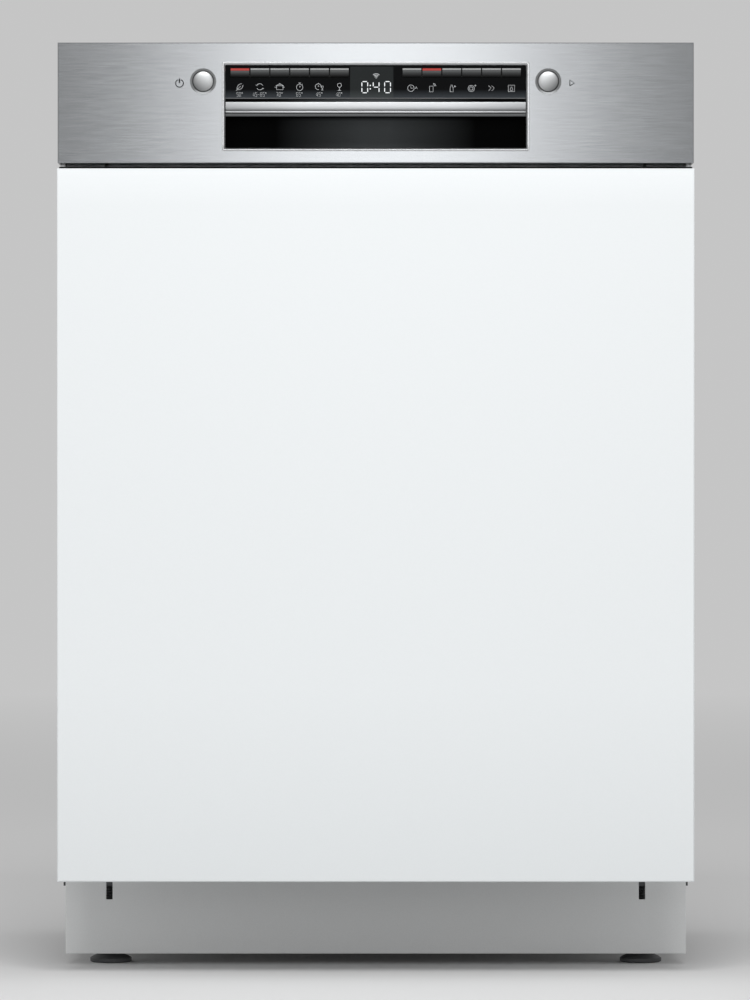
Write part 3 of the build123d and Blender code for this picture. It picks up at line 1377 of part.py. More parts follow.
basket_x = -(lower_half - 2 * WIRE - BASKET_SIDE_GAP - BASKET_LENGTH / 2)
basket_z = lower_z + 4 * wire_half + SLIDE_FIT
basket_y = rack_front + 4 * wire_half + BASKET_INSET + BASKET_DEPTH / 2
with BuildPart() as cutlery_basket:
    with BuildSketch(level(basket_z)):
        with Locations((basket_x, basket_y)):
            Rectangle(BASKET_LENGTH, BASKET_DEPTH)
    extrude(amount=BASKET_HEIGHT)
    with BuildSketch(level(basket_z + BASKET_WALL)):
        with Locations((basket_x, basket_y)):
            Rectangle(BASKET_LENGTH - 2 * BASKET_WALL, BASKET_DEPTH - 2 * BASKET_WALL)
    extrude(amount=BASKET_HEIGHT, mode=Mode.SUBTRACT)
    with BuildSketch(front(basket_y + BASKET_DEPTH / 2)):
        with Locations((basket_x, basket_z + BASKET_HEIGHT / 2)):
            with GridLocations(BASKET_LENGTH / (BASKET_SLOTS + 1), 0, BASKET_SLOTS, 1):
                Rectangle(BASKET_LENGTH / (BASKET_SLOTS + 1) / 2, BASKET_HEIGHT * SLOT_SHARE)
    extrude(amount=BASKET_DEPTH, mode=Mode.SUBTRACT)
    with BuildSketch(front(basket_y + BASKET_WALL / 2)) as grip:
        grip_half = BASKET_LENGTH / 4
        grip_top = basket_z + BASKET_HEIGHT + BASKET_HANDLE
        span(basket_x - grip_half, basket_x + grip_half, basket_z, grip_top)
        chamfer(grip.vertices().group_by(Axis.Y)[-1], length=BASKET_GRIP_CORNER)
        span(
            basket_x - grip_half + BASKET_GRIP_CORNER,
            basket_x + grip_half - BASKET_GRIP_CORNER,
            grip_top - BASKET_GRIP_CORNER - BASKET_GRIP,
            grip_top - BASKET_GRIP_CORNER,
            mode=Mode.SUBTRACT,
        )
        span(
            basket_x - BASKET_LENGTH / 2,
            basket_x + BASKET_LENGTH / 2,
            basket_z,
            basket_z + BASKET_HEIGHT - BASKET_GRIP,
        )
    extrude(amount=BASKET_WALL)
cutlery_basket.part.label = "cutlery_basket"
export_step(cutlery_basket.part, "parts/cutlery_basket.step")

# Upper rack with its rollers and the feed tube of its spray arm

upper_wires, upper_columns = wire_rack(
    upper_half, upper_z, upper_z + UPPER_WALL, upper_z + UPPER_WALL, guide_z
)
upper_tines = tine_rows(upper_columns[1:-1], UPPER_TINE_ROWS, upper_z, UPPER_TINE_HEIGHT)
roller_out = tub_inner - GUIDE_SHEET - ROUND_FIT
roller_places = [rack_front + 4 * WHEEL_RADIUS, rack_rear - 4 * WHEEL_RADIUS]
with BuildPart() as roller_plates:
    with BuildSketch(side(upper_half)):
        with Locations(*[(y, guide_z) for y in roller_places]):
            Rectangle(2 * WHEEL_PLATE_LENGTH, WHEEL_PLATE_LENGTH)
    extrude(amount=WHEEL_PLATE)
    with BuildSketch(side(upper_half)):
        with Locations(*[(y, guide_z) for y in roller_places]):
            Rectangle(roller_radius, roller_radius)
    extrude(amount=roller_out - ROLLER_WIDTH - upper_half)
    with BuildSketch(side(roller_out - ROLLER_WIDTH)):
        with Locations(*[(y, guide_z) for y in roller_places]):
            RegularPolygon(roller_radius, ROUND_SIDES)
    extrude(amount=ROLLER_WIDTH)
    mirror(about=Plane.YZ)
with BuildPart() as feed_tube:
    tube_rear = pipe_front - PORT_REACH - SLIDE_FIT
    with BuildSketch(front(tube_rear)):
        with Locations((0, port_z)):
            RegularPolygon(FEED_TUBE - 2 * SLIDE_FIT, ROUND_SIDES)
    extrude(amount=tube_rear - HUB_Y)
    with BuildSketch(level(port_z - FEED_TUBE)):
        with Locations((0, HUB_Y)):
            RegularPolygon(HUB_POST, ROUND_SIDES)
    extrude(amount=2 * FEED_TUBE)
    with BuildSketch(level(port_z - FEED_TUBE)):
        with Locations((0, HUB_Y)):
            Circle(HUB_PIN)
    extrude(amount=-(ARM_THICKNESS + 2 * SLIDE_FIT))
    with BuildSketch(level(upper_arm_z - SLIDE_FIT)):
        with Locations((0, HUB_Y)):
            RegularPolygon(HUB_POST, HEX_SIDES)
    extrude(amount=-SUMP_WALL)
upper_rack = Compound(
    label="upper_rack", children=[*upper_wires, upper_tines, roller_plates.part, feed_tube.part]
)
export_step(upper_rack, "parts/upper_rack.step")

# Runners on the tub walls for the upper rack

with BuildPart() as upper_rack_rails:
    rail_rear = tub_back - GUIDE_MARGIN
    with BuildSketch(front(rail_rear)):
        span(tub_inner - GUIDE_DEPTH, tub_inner, guide_z - GUIDE_HEIGHT / 2, guide_z + GUIDE_HEIGHT / 2)
        span(
            tub_inner - GUIDE_DEPTH,
            tub_inner - GUIDE_SHEET,
            guide_z - GUIDE_HEIGHT / 2 + GUIDE_SHEET,
            guide_z + GUIDE_HEIGHT / 2 - GUIDE_SHEET,
            mode=Mode.SUBTRACT,
        )
    extrude(amount=rail_rear - mouth_y - GUIDE_MARGIN)
    mirror(about=Plane.YZ)
upper_rack_rails.part.label = "upper_rack_rails"
export_step(upper_rack_rails.part, "parts/upper_rack_rails.step")

# Cup shelf: a slotted flap hinged on the left wall of the upper rack

shelf_x = -(upper_half - 4 * wire_half - SLIDE_FIT - SHELF_BARREL)
shelf_z = upper_z + SHELF_RISE
shelf_mid = (rack_front + rack_rear) / 2
shelf_pitch = SHELF_LENGTH / SHELF_SLOTS
with BuildPart() as cup_shelf:
    with BuildSketch(level(shelf_z - SHELF_THICKNESS / 2)):
        span(shelf_x, shelf_x + SHELF_WIDTH, shelf_mid - SHELF_LENGTH / 2, shelf_mid + SHELF_LENGTH / 2)
        with Locations((shelf_x + SHELF_WIDTH / 2, shelf_mid)):
            with GridLocations(0, shelf_pitch, 1, SHELF_SLOTS):
                Rectangle(SHELF_WIDTH * SLOT_SHARE, shelf_pitch * SLOT_SHARE, mode=Mode.SUBTRACT)
    extrude(amount=SHELF_THICKNESS)
    with BuildSketch(front(shelf_mid + SHELF_LENGTH / 2)):
        with Locations((shelf_x, shelf_z)):
            Circle(SHELF_BARREL)
    extrude(amount=SHELF_LENGTH)
cup_shelf.part.label = "cup_shelf"
export_step(cup_shelf.part, "parts/cup_shelf.step")

# Water inlet, drain spigot and mains gland on the rear wall of the base

with BuildPart() as rear_connections:
    with BuildSketch(front(base_rear + BASE_WALL)):
        for place, radius in ((INLET_X, INLET_RADIUS), (DRAIN_X, DRAIN_SPIGOT)):
            with Locations((place, connection_z)):
                RegularPolygon(radius + 2 * BASE_WALL, HEX_SIDES)
    extrude(amount=BASE_WALL)
    with BuildSketch(front(base_rear + CONNECTION_REACH)):
        for place, radius in ((INLET_X, INLET_RADIUS), (DRAIN_X, DRAIN_SPIGOT)):
            with Locations((place, connection_z)):
                Circle(radius)
    extrude(amount=CONNECTION_REACH - BASE_WALL)
    with BuildSketch(front(base_rear + CONNECTION_REACH)):
        with Locations((GLAND_X, connection_z)):
            RegularPolygon(GLAND_RADIUS, HEX_SIDES)
    extrude(amount=CONNECTION_REACH)
rear_connections.part.label = "rear_connections"
export_step(rear_connections.part, "parts/rear_connections.step")
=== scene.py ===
from math import copysign, cos, pi, radians, sin, sqrt, tan

import bpy
from mathutils import Matrix, Vector


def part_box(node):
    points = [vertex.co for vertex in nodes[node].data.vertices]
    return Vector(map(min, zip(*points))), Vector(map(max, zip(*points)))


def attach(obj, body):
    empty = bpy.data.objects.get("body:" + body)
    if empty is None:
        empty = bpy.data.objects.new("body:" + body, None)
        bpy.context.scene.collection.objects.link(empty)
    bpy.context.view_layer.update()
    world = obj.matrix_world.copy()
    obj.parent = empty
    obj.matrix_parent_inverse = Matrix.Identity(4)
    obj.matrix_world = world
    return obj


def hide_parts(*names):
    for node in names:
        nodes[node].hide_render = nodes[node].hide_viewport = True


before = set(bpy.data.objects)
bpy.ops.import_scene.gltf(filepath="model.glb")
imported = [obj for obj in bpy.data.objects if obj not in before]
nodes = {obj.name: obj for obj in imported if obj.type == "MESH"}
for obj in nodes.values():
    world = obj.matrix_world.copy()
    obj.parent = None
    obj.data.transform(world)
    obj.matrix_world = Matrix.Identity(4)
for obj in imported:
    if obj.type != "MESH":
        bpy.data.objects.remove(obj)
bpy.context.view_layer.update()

# Built-in dishwasher with a furniture front. Metres: x to the right, y to the rear, z up.

scene = bpy.context.scene
scene.view_settings.view_transform = "Standard"
MM = 0.001
UP = (0, 0, 1)
ACROSS = (1, 0, 0)
FORWARD = (0, -1, 0)
REARWARD = (0, 1, 0)

# Camera, from the photograph's frame of 750 by 1000 pixels
PHOTO_SCALE = 0.9345 * MM
PHOTO_HEIGHT = 1000
EYE_LEVEL = 0.4445
EYE_SHIFT = -0.65 * MM
EYE_DISTANCE = 5.0
SENSOR = 36.0

# Studio
WORLD_LEVEL = 0.56
FLOOR_TONE = 0.74
FLOOR_HALF = 40.0
FADE_START = 1.5
FADE_END = 7.0
WHITE = (1.0, 1.0, 1.0, 1.0)

# Meshes
SHARP = 35.0
CORNER_STEPS = 5
WELD_REACH = 0.01 * MM
BEVEL_ANGLE = 40


# Outlines and routes


def rectangle(left, low, right, high):
    """Corners of a rectangle, in order round it."""
    return [(left, low), (right, low), (right, high), (left, high)]


def arc(u, v, radius, start, end, steps=14):
    """Points of an arc between two angles in degrees."""
    turns = [radians(start + (end - start) * k / steps) for k in range(steps + 1)]
    return [(u + radius * cos(t), v + radius * sin(t)) for t in turns]


def hexagon(u, v, radius):
    """Corners of a hexagon about a point."""
    return arc(u, v, radius, 0, 300, 5)


def profile_of(radius, pairs):
    """Profile to be turned, whose radii are given as shares of one radius."""
    return [(radius * share, height) for share, height in pairs]


def rounded(points, radius, closed=False):
    """The same route with each corner turned into an arc of the given radius."""
    points = [Vector(p) for p in points]
    route = []
    count = len(points)
    for i, here in enumerate(points):
        if not closed and i in (0, count - 1):
            route.append(here)
            continue
        before = (points[i - 1] - here).normalized()
        after = (points[(i + 1) % count] - here).normalized()
        half = before.angle(after) / 2
        reach = radius / tan(half)
        centre = here + (before + after).normalized() * (radius / sin(half))
        start, end = here + before * reach - centre, here + after * reach - centre
        for k in range(CORNER_STEPS + 1):
            turn = Matrix.Rotation(start.angle(end) * k / CORNER_STEPS, 3, start.cross(end))
            route.append(centre + turn @ start)
    return route


# Pieces


def place(obj, body, material):
    """Links a new piece, gives it a material and lets it move with a body."""
    scene.collection.objects.link(obj)
    obj.data.materials.append(material)
    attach(obj, body)
    return obj


def skin(rings, hoop=False):
    """Points and faces of a form through rings of equal count: capped, or closed to a hoop."""
    count = len(rings[0])
    starts = [row * count for row in range(len(rings))]
    bands = list(zip(starts, starts[1:]))
    if hoop:
        bands.append((starts[-1], 0))
    faces = []
    for low, high in bands:
        for i in range(count):
            j = (i + 1) % count
            faces.append((low + i, low + j, high + j, high + i))
    if not hoop:
        faces.append(tuple(reversed(range(count))))
        faces.append(tuple(range(starts[-1], starts[-1] + count)))
    return [p for ring in rings for p in ring], faces


def mesh_piece(name, forms, body, material, slot=None, sharp=SHARP):
    """Piece of one or more forms, smooth except at edges sharper than the angle."""
    points, faces = [], []
    for more, added in forms:
        faces += [tuple(k + len(points) for k in face) for face in added]
        points += [tuple(p) for p in more]
    mesh = bpy.data.meshes.new(name)
    mesh.from_pydata(points, [], faces)
    mesh.validate()
    for polygon in mesh.polygons:
        polygon.use_smooth = True
    mesh.set_sharp_from_angle(angle=radians(sharp))
    return place(bpy.data.objects.new(name, mesh), body, material)


def turned_rings(profile, origin, axis, segments):
    """Rings of a profile of (radius, height) pairs turned about an axis."""
    axis = Vector(axis).normalized()
    first = axis.orthogonal().normalized()
    second = axis.cross(first)
    turns = [2 * pi * i / segments for i in range(segments)]
    rings = []
    for radius, height in profile:
        middle = Vector(origin) + axis * height
        rings.append([middle + first * (radius * cos(t)) + second * (radius * sin(t)) for t in turns])
    return rings


def lathe(name, profile, origins, axis, body, material, slot=None, segments=48, sharp=SHARP, hoop=False):
    """Turned forms at one or more places in one piece; a hoop's profile is a loop, open in the middle."""
    forms = [skin(turned_rings(profile, at, axis, segments), hoop) for at in origins]
    return mesh_piece(name, forms, body, material, slot, sharp)


def prism(name, outlines, start, end, along, body, material, slot, sharp=SHARP):
    """Straight forms: outlines in the two other axes, drawn from start to end along x, y or z."""
    spot = "xyz".index(along)
    forms = []
    for outline in outlines:
        forms.append(skin([[(*p[:spot], a, *p[spot:]) for p in outline] for a in (start, end)]))
    return mesh_piece(name, forms, body, material, slot, sharp)


def wires(name, routes, radius, body, material, slot, closed=(), sides=2):
    """Round wire along each route, all in one curve object."""
    curve = bpy.data.curves.new(name, "CURVE")
    curve.dimensions = "3D"
    curve.bevel_depth = radius
    curve.bevel_resolution = sides
    curve.use_fill_caps = True
    for index, route in enumerate(routes):
        spline = curve.splines.new("POLY")
        spline.points.add(len(route) - 1)
        for point, at in zip(spline.points, route):
            point.co = (*at, 1.0)
        spline.use_cyclic_u = index in closed
        spline.use_smooth = True
    return place(bpy.data.objects.new(name, curve), body, material)


def soften(node, width):
    """Small rounded edges on a CAD node, by modifiers alone."""
    obj = nodes[node]
    weld = obj.modifiers.new("weld", "WELD")
    weld.merge_threshold = WELD_REACH
    bevel = obj.modifiers.new("edge", "BEVEL")
    bevel.width = width
    bevel.segments = 2
    bevel.limit_method = "ANGLE"
    bevel.angle_limit = radians(BEVEL_ANGLE)
    bevel.harden_normals = True


# Nodes of the materials

GRAIN_SPAN = (0.25, 0.75)
GRAIN_DETAIL = 4.0
RELIEF_STRENGTH = 0.5
HOLE_SPAN = (0.28, 0.34)
HOLE_TONE = (0.02, 0.02, 0.021, 1.0)


def fill(node, **values):
    """Sets inputs of a node; an underscore stands for a space in an input's name."""
    for name, value in values.items():
        node.inputs[name.replace("_", " ")].default_value = value
    return node


def added(tree, kind, **values):
    """A new node with some of its inputs set."""
    return fill(tree.nodes.new("ShaderNode" + kind), **values)


def coordinates(tree, source="Object"):
    """Socket of the place on the object, or of another texture coordinate."""
    return added(tree, "TexCoord").outputs[source]


def ramp(tree, value, start, end, low=0.0, high=1.0):
    """Socket of a value that is taken from one span to another."""
    node = added(tree, "MapRange", From_Min=start, From_Max=end, To_Min=low, To_Max=high)
    tree.links.new(value, node.inputs["Value"])
    return node.outputs["Result"]


def mixed(tree, factor, first, second, blend="MIX"):
    """Socket of a mix of two colours; the factor and the colours are values or sockets."""
    node = added(tree, "Mix")
    node.data_type = "RGBA"
    node.blend_type = blend
    colours = [s for s in node.inputs if s.type == "RGBA"]
    for socket, value in zip((node.inputs["Factor"], *colours), (factor, first, second)):
        if isinstance(value, bpy.types.NodeSocket):
            tree.links.new(value, socket)
        else:
            socket.default_value = value
    return [s for s in node.outputs if s.type == "RGBA"][0]


def surface(
    name, colours, roughness, scale, metallic=0.0, stretch=(1, 1, 1), bump=0.0, cells=False, **sockets
):
    """Principled material whose colour, roughness and relief follow a stretched grain."""
    material = bpy.data.materials.new(name)
    material.use_nodes = True
    tree = material.node_tree
    link = tree.links.new
    shader = fill(tree.nodes["Principled BSDF"], Metallic=metallic, **sockets)
    mapping = added(tree, "Mapping", Scale=[scale * s for s in stretch])
    link(coordinates(tree), mapping.inputs["Vector"])
    if cells:
        texture = added(tree, "TexVoronoi", Scale=1.0)
        grain = texture.outputs["Color"]
    else:
        texture = added(tree, "TexNoise", Scale=1.0, Detail=GRAIN_DETAIL)
        grain = texture.outputs["Fac"]
    link(mapping.outputs["Vector"], texture.inputs["Vector"])
    dark, light = [(*colour, 1.0) for colour in colours]
    link(mixed(tree, ramp(tree, grain, *GRAIN_SPAN), dark, light), shader.inputs["Base Color"])
    link(ramp(tree, grain, *GRAIN_SPAN, *roughness), shader.inputs["Roughness"])
    if bump:
        relief = added(tree, "Bump", Strength=RELIEF_STRENGTH, Distance=bump)
        link(grain, relief.inputs["Height"])
        link(relief.outputs["Normal"], shader.inputs["Normal"])
    return material


def moulded(name, colours, roughness, bump=0.015 * MM):
    """Plastic with the fine grain of a mould."""
    return surface(name, colours, roughness, 1400, bump=bump)


def perforated(name, pitch):
    """Bright sheet with a close pattern of small dark holes."""
    material = surface(name, [(0.50, 0.51, 0.52), (0.58, 0.59, 0.60)], (0.3, 0.42), 900, metallic=1.0)
    tree = material.node_tree
    colour = tree.nodes["Principled BSDF"].inputs["Base Color"]
    cells = added(tree, "TexVoronoi", Scale=1.0 / pitch, Randomness=0.0)
    tree.links.new(coordinates(tree), cells.inputs["Vector"])
    sheet = ramp(tree, cells.outputs["Distance"], *HOLE_SPAN)
    tree.links.new(mixed(tree, sheet, HOLE_TONE, colour.links[0].from_socket), colour)
    return material


def shaded(material, direction, span, tones, mirrored=False, source="Object"):
    """Paints light or shade into a colour: multiplies it by a ramp of tones along a direction, of the place
    or of the normal.
    """
    tree = material.node_tree
    along = added(tree, "VectorMath")
    along.operation = "DOT_PRODUCT"
    along.inputs[1].default_value = direction
    tree.links.new(coordinates(tree, source), along.inputs[0])
    reach = along.outputs["Value"]
    if mirrored:
        even = added(tree, "Math")
        even.operation = "ABSOLUTE"
        tree.links.new(reach, even.inputs[0])
        reach = even.outputs["Value"]
    colour = tree.nodes["Principled BSDF"].inputs["Base Color"]
    tone = ramp(tree, reach, *span, *tones)
    tree.links.new(mixed(tree, 1.0, colour.links[0].from_socket, tone, "MULTIPLY"), colour)


# Materials of the front: two colours of the grain, two limits of roughness, grains per metre

ALONG_X = (0.02, 1, 1)
BRUSHED = 0.004 * MM
PAINTED = 0.01 * MM
COARSE = 0.02 * MM
fascia_steel = surface(
    "fascia_steel", [(0.36, 0.372, 0.385), (0.41, 0.423, 0.436)], (0.17, 0.23), 2500, 1.0, ALONG_X, BRUSHED
)
white_lacquer = surface(
    "white_lacquer", [(0.835, 0.864, 0.876), (0.85, 0.879, 0.891)], (0.32, 0.40), 900, bump=BRUSHED
)
chrome = surface("chrome", [(0.53, 0.54, 0.55), (0.55, 0.56, 0.57)], (0.265, 0.285), 1500, 1.0, ALONG_X)
bar_chrome = surface(
    "bar_chrome", [(0.436, 0.446, 0.456), (0.444, 0.454, 0.464)], (0.30, 0.31), 1500, 1.0, ALONG_X
)
ring_metal = surface("ring_metal", [(0.125, 0.13, 0.132), (0.155, 0.16, 0.162)], (0.42, 0.5), 1200)
black_gloss = surface(
    "black_gloss", [(0.0018, 0.0021, 0.0024), (0.0022, 0.0025, 0.0028)], (0.18, 0.26), 400,
    Specular_IOR_Level=0.03,
)
display_glass = surface(
    "display_glass", [(0.0170, 0.0195, 0.0200), (0.0190, 0.0215, 0.0220)], (0.14, 0.2), 400,
    Specular_IOR_Level=0.03,
)
key_plastic = surface(
    "key_plastic", [(0.088, 0.092, 0.094), (0.100, 0.104, 0.106)], (0.34, 0.44), 2000,
    Specular_IOR_Level=0.1,
)
key_guide = surface("key_guide", [(0.36, 0.37, 0.37), (0.42, 0.43, 0.43)], (0.40, 0.50), 1500)
lit_red = surface(
    "lit_red", [(0.31, 0.042, 0.036), (0.36, 0.050, 0.043)], (0.45, 0.55), 1500, Specular_IOR_Level=0.2,
    Emission_Color=(0.62, 0.06, 0.05, 1.0), Emission_Strength=0.18,
)
# Printed white signs, with a faint painted glow
sign_white = surface(
    "sign_white", [(0.62, 0.64, 0.65), (0.72, 0.74, 0.75)], (0.5, 0.6), 3000,
    Emission_Color=(0.75, 0.78, 0.80, 1.0), Emission_Strength=0.12,
)
digit_white = surface(
    "digit_white", [(0.68, 0.70, 0.71), (0.74, 0.76, 0.77)], (0.5, 0.6), 3000,
    Emission_Color=(0.9, 0.93, 0.95, 1.0), Emission_Strength=0.3,
)
sign_dark = surface(
    "sign_dark", [(0.018, 0.019, 0.02), (0.026, 0.027, 0.028)], (0.5, 0.6), 3000, Specular_IOR_Level=0.2
)
pocket_plastic = surface(
    "pocket_plastic", [(0.044, 0.048, 0.050), (0.054, 0.058, 0.060)], (0.4, 0.5), 2500,
    Specular_IOR_Level=0.02,
)
# Dark paint of the door's outer panel, made near black so that the gap under the fascia shows as painted
# shade
door_paint_and_gap_shade = surface(
    "door_paint_and_gap_shade", [(0.004, 0.0045, 0.005), (0.006, 0.0065, 0.007)], (0.5, 0.6), 1400, bump=PAINTED,
    Specular_IOR_Level=0.2,
)
edge_plastic = surface(
    "edge_plastic", [(0.017, 0.018, 0.019), (0.023, 0.025, 0.026)], (0.35, 0.45), 1500, stretch=ALONG_X
)
lip_plastic = surface(
    "lip_plastic", [(0.060, 0.064, 0.067), (0.080, 0.085, 0.088)], (0.35, 0.45), 1500, stretch=ALONG_X
)

# Materials of the cabinet and of what is inside it

tub_steel = surface(
    "tub_steel", [(0.62, 0.63, 0.64), (0.70, 0.71, 0.72)], (0.34, 0.44), 1600, 1.0, ALONG_X, BRUSHED
)
zinc = surface("zinc", [(0.42, 0.43, 0.44), (0.56, 0.57, 0.58)], (0.35, 0.5), 60, 1.0, cells=True)
galvanised = surface(
    "galvanised", [(0.53, 0.545, 0.555), (0.58, 0.595, 0.605)], (0.58, 0.68), 95, 0.6, cells=True
)
kick_paint = surface("kick_paint", [(0.72, 0.73, 0.73), (0.76, 0.77, 0.77)], (0.40, 0.5), 1200, bump=PAINTED)
rubber = surface("rubber", [(0.035, 0.035, 0.037), (0.06, 0.06, 0.062)], (0.6, 0.75), 900, bump=COARSE)
base_moulding = moulded("base_moulding", [(0.05, 0.052, 0.055), (0.075, 0.078, 0.08)], (0.5, 0.65), COARSE)
grey_moulding = moulded("grey_moulding", [(0.44, 0.46, 0.48), (0.50, 0.52, 0.54)], (0.38, 0.5))
dark_moulding = moulded("dark_moulding", [(0.16, 0.165, 0.175), (0.20, 0.205, 0.215)], (0.4, 0.55))
pale_moulding = moulded("pale_moulding", [(0.66, 0.67, 0.67), (0.72, 0.73, 0.73)], (0.4, 0.5))
cap_blue = moulded("cap_blue", [(0.05, 0.15, 0.36), (0.07, 0.19, 0.43)], (0.38, 0.5))
board_dark = surface(
    "board_dark", [(0.004, 0.005, 0.005), (0.010, 0.012, 0.011)], (0.4, 0.5), 250, cells=True
)
coated_wire = surface("coated_wire", [(0.40, 0.42, 0.44), (0.46, 0.48, 0.50)], (0.3, 0.4), 700, bump=PAINTED)
spring_steel = surface("spring_steel", [(0.40, 0.41, 0.42), (0.52, 0.53, 0.54)], (0.25, 0.4), 900, 1.0)
perforated_steel = perforated("perforated_steel", 2.2 * MM)

# A material and its slot, where several pieces share them
STRIP_SIGN = (sign_white, "strip_black")
COATED = (coated_wire, "rack_coating")
DARK_INNER = (dark_moulding, "inner_plastic")
GREY_INNER = (grey_moulding, "inner_plastic")
BASE = (base_moulding, "base_plastic")
BLUE = (cap_blue, "cap_blue")

finishes = {
    fascia_steel: ["control_fascia"],
    white_lacquer: ["furniture_panel"],
    black_gloss: ["control_strip"],
    pocket_plastic: ["control_housing"],
    tub_steel: ["tub", "door_inner_liner", "upper_rack_rails"],
    zinc: ["worktop_brackets", "door_striker", "hinge_brackets", "hinge_arms", "rear_foot_spindle"],
    galvanised: ["side_panels", "rear_panel", "top_panel"],
    door_paint_and_gap_shade: ["door_outer_panel"],
    kick_paint: ["kick_plate"],
    rubber: ["door_gasket"],
    base_moulding: ["base_tray", "door_lock", "drain_pump", "circulation_pump"],
    grey_moulding: ["detergent_dispenser", "dispenser_lid", "feed_pipe", "cup_shelf"],
    dark_moulding: ["sump", "cutlery_basket"],
    pale_moulding: ["softener_tank"],
    cap_blue: ["rinse_aid_cap"],
    board_dark: ["control_board"],
    perforated_steel: ["flat_filter", "filter_cylinder"],
}
for material, names in finishes.items():
    for node in names:
        nodes[node].data.materials.clear()
        nodes[node].data.materials.append(material)

soft_edges = {
    0.5 * MM: ["furniture_panel", "kick_plate", "hinge_arms", "hinge_brackets"],
    0.8 * MM: [
        "detergent_dispenser", "dispenser_lid", "rinse_aid_cap", "cup_shelf", "cutlery_basket",
        "softener_tank",
    ],
}
for width, names in soft_edges.items():
    for node in names:
        soften(node, width)


# Floor, world, lamps and camera


def floor_material():
    """Pale floor that takes the world's tone far from the object."""
    material = bpy.data.materials.new("studio_floor")
    material.use_nodes = True
    tree = material.node_tree
    tree.nodes.clear()
    link = tree.links.new
    near = added(tree, "BsdfDiffuse", Color=(FLOOR_TONE, FLOOR_TONE, FLOOR_TONE, 1.0))
    far = added(tree, "Emission", Color=WHITE, Strength=WORLD_LEVEL)
    length = added(tree, "VectorMath")
    length.operation = "LENGTH"
    link(coordinates(tree), length.inputs[0])
    blend = added(tree, "MixShader")
    link(ramp(tree, length.outputs["Value"], FADE_START, FADE_END), blend.inputs["Fac"])
    link(near.outputs["BSDF"], blend.inputs[1])
    link(far.outputs["Emission"], blend.inputs[2])
    link(blend.outputs["Shader"], added(tree, "OutputMaterial").inputs["Surface"])
    return material


floor_mesh = bpy.data.meshes.new("floor")
corners = [(x, y, 0) for x, y in rectangle(-FLOOR_HALF, -FLOOR_HALF, FLOOR_HALF, FLOOR_HALF)]
floor_mesh.from_pydata(corners, [], [(0, 1, 2, 3)])
floor_mesh.materials.append(floor_material())
floor = bpy.data.objects.new("floor", floor_mesh)
scene.collection.objects.link(floor)

world = bpy.data.worlds.new("studio_world")
world.use_nodes = True
fill(world.node_tree.nodes["Background"], Color=WHITE, Strength=WORLD_LEVEL)
scene.world = world


def softbox(name, at, aim, width, height, power):
    """Rectangular lamp at a place, turned to a point."""
    lamp = bpy.data.lights.new(name, "AREA")
    lamp.shape = "RECTANGLE"
    lamp.size = width
    lamp.size_y = height
    lamp.energy = power
    obj = bpy.data.objects.new(name, lamp)
    obj.location = at
    obj.rotation_mode = "QUATERNION"
    obj.rotation_quaternion = (Vector(aim) - Vector(at)).to_track_quat("-Z", "Y")
    obj.visible_camera = False
    scene.collection.objects.link(obj)


softbox("front_box", at=(0, -2.6, 1.0), aim=(0, -0.28, 0.82), width=0.42, height=1.1, power=3.2)
softbox("top_box", at=(0, -2.2, 2.9), aim=(0, -0.28, 0.7), width=1.6, height=1.2, power=50)

camera_data = bpy.data.cameras.new("photo_camera")
camera_data.sensor_width = SENSOR
camera_data.lens = SENSOR * EYE_DISTANCE / (PHOTO_SCALE * PHOTO_HEIGHT)
camera = bpy.data.objects.new("photo_camera", camera_data)
camera.location = (EYE_SHIFT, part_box("control_fascia")[0].y - EYE_DISTANCE, EYE_LEVEL)
camera.rotation_euler = (radians(90), 0, 0)
scene.collection.objects.link(camera)
scene.camera = camera

# Front: places read from the solids

fascia_low, fascia_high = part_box("control_fascia")
strip_low, strip_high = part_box("control_strip")
bar_low, bar_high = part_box("handle_bar")
frame_low, frame_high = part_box("insert_frame")
key_low, key_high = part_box("left_key_1")
panel_low, panel_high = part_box("furniture_panel")
fascia_top = fascia_high.z
DOOR = "door"
PRINT = 0.05 * MM

# Fall of light: ramps of tone in place of the room that the photograph's front reflects

PAINTED_REFLECTION_HEIGHT = 8.8 * MM
KEY_FOOT = 0.8 * MM
BAR_TURN = 3.2 * MM
BAR_SHARE = 0.5
LIP_LIGHT = 1.8 * MM
LIP_DARK = 1.0 * MM
RIM_FOOT = 2 * MM
RIM_RISE = 6 * MM
LAND_INNER = 1.6 * MM
LAND_OUTER = 1.2 * MM
SIDEWAYS = (0.3, 0.6)
POCKET_MIDDLE = 12 * MM
POCKET_FADE = 94 * MM
SHADOW_START = 2 * MM
SHADOW_END = 5.5 * MM
FASCIA_SHARE = 0.66
DOWNWARD = (-0.95, -0.75)
PANEL_FOOT = 180 * MM
PANEL_HEAD = 35 * MM
# Painted reflection: the strip and the display window lighter towards their foot
for glass, reflection_tone in ((black_gloss, 18.5), (display_glass, 2.5)):
    shaded(glass, UP, (strip_low.z + MM, strip_low.z + PAINTED_REFLECTION_HEIGHT), (reflection_tone, 1.0))
# Painted shade: the key faces darker towards their foot
shaded(key_plastic, UP, (key_low.z + KEY_FOOT, key_high.z - MM), (0.03, 0.85))
# Painted reflection: the bar brightest at its top and middle, darker lower down and towards its ends
shaded(bar_chrome, UP, (bar_low.z + BAR_TURN, bar_high.z), (0.73, 1.57))
shaded(bar_chrome, ACROSS, (BAR_SHARE * bar_high.x, bar_high.x), (1.0, 0.70), mirrored=True)
# Painted shade: the lip darker just under the bar
shaded(lip_plastic, UP, (bar_low.z - LIP_LIGHT, bar_low.z - LIP_DARK), (1.0, 0.30))
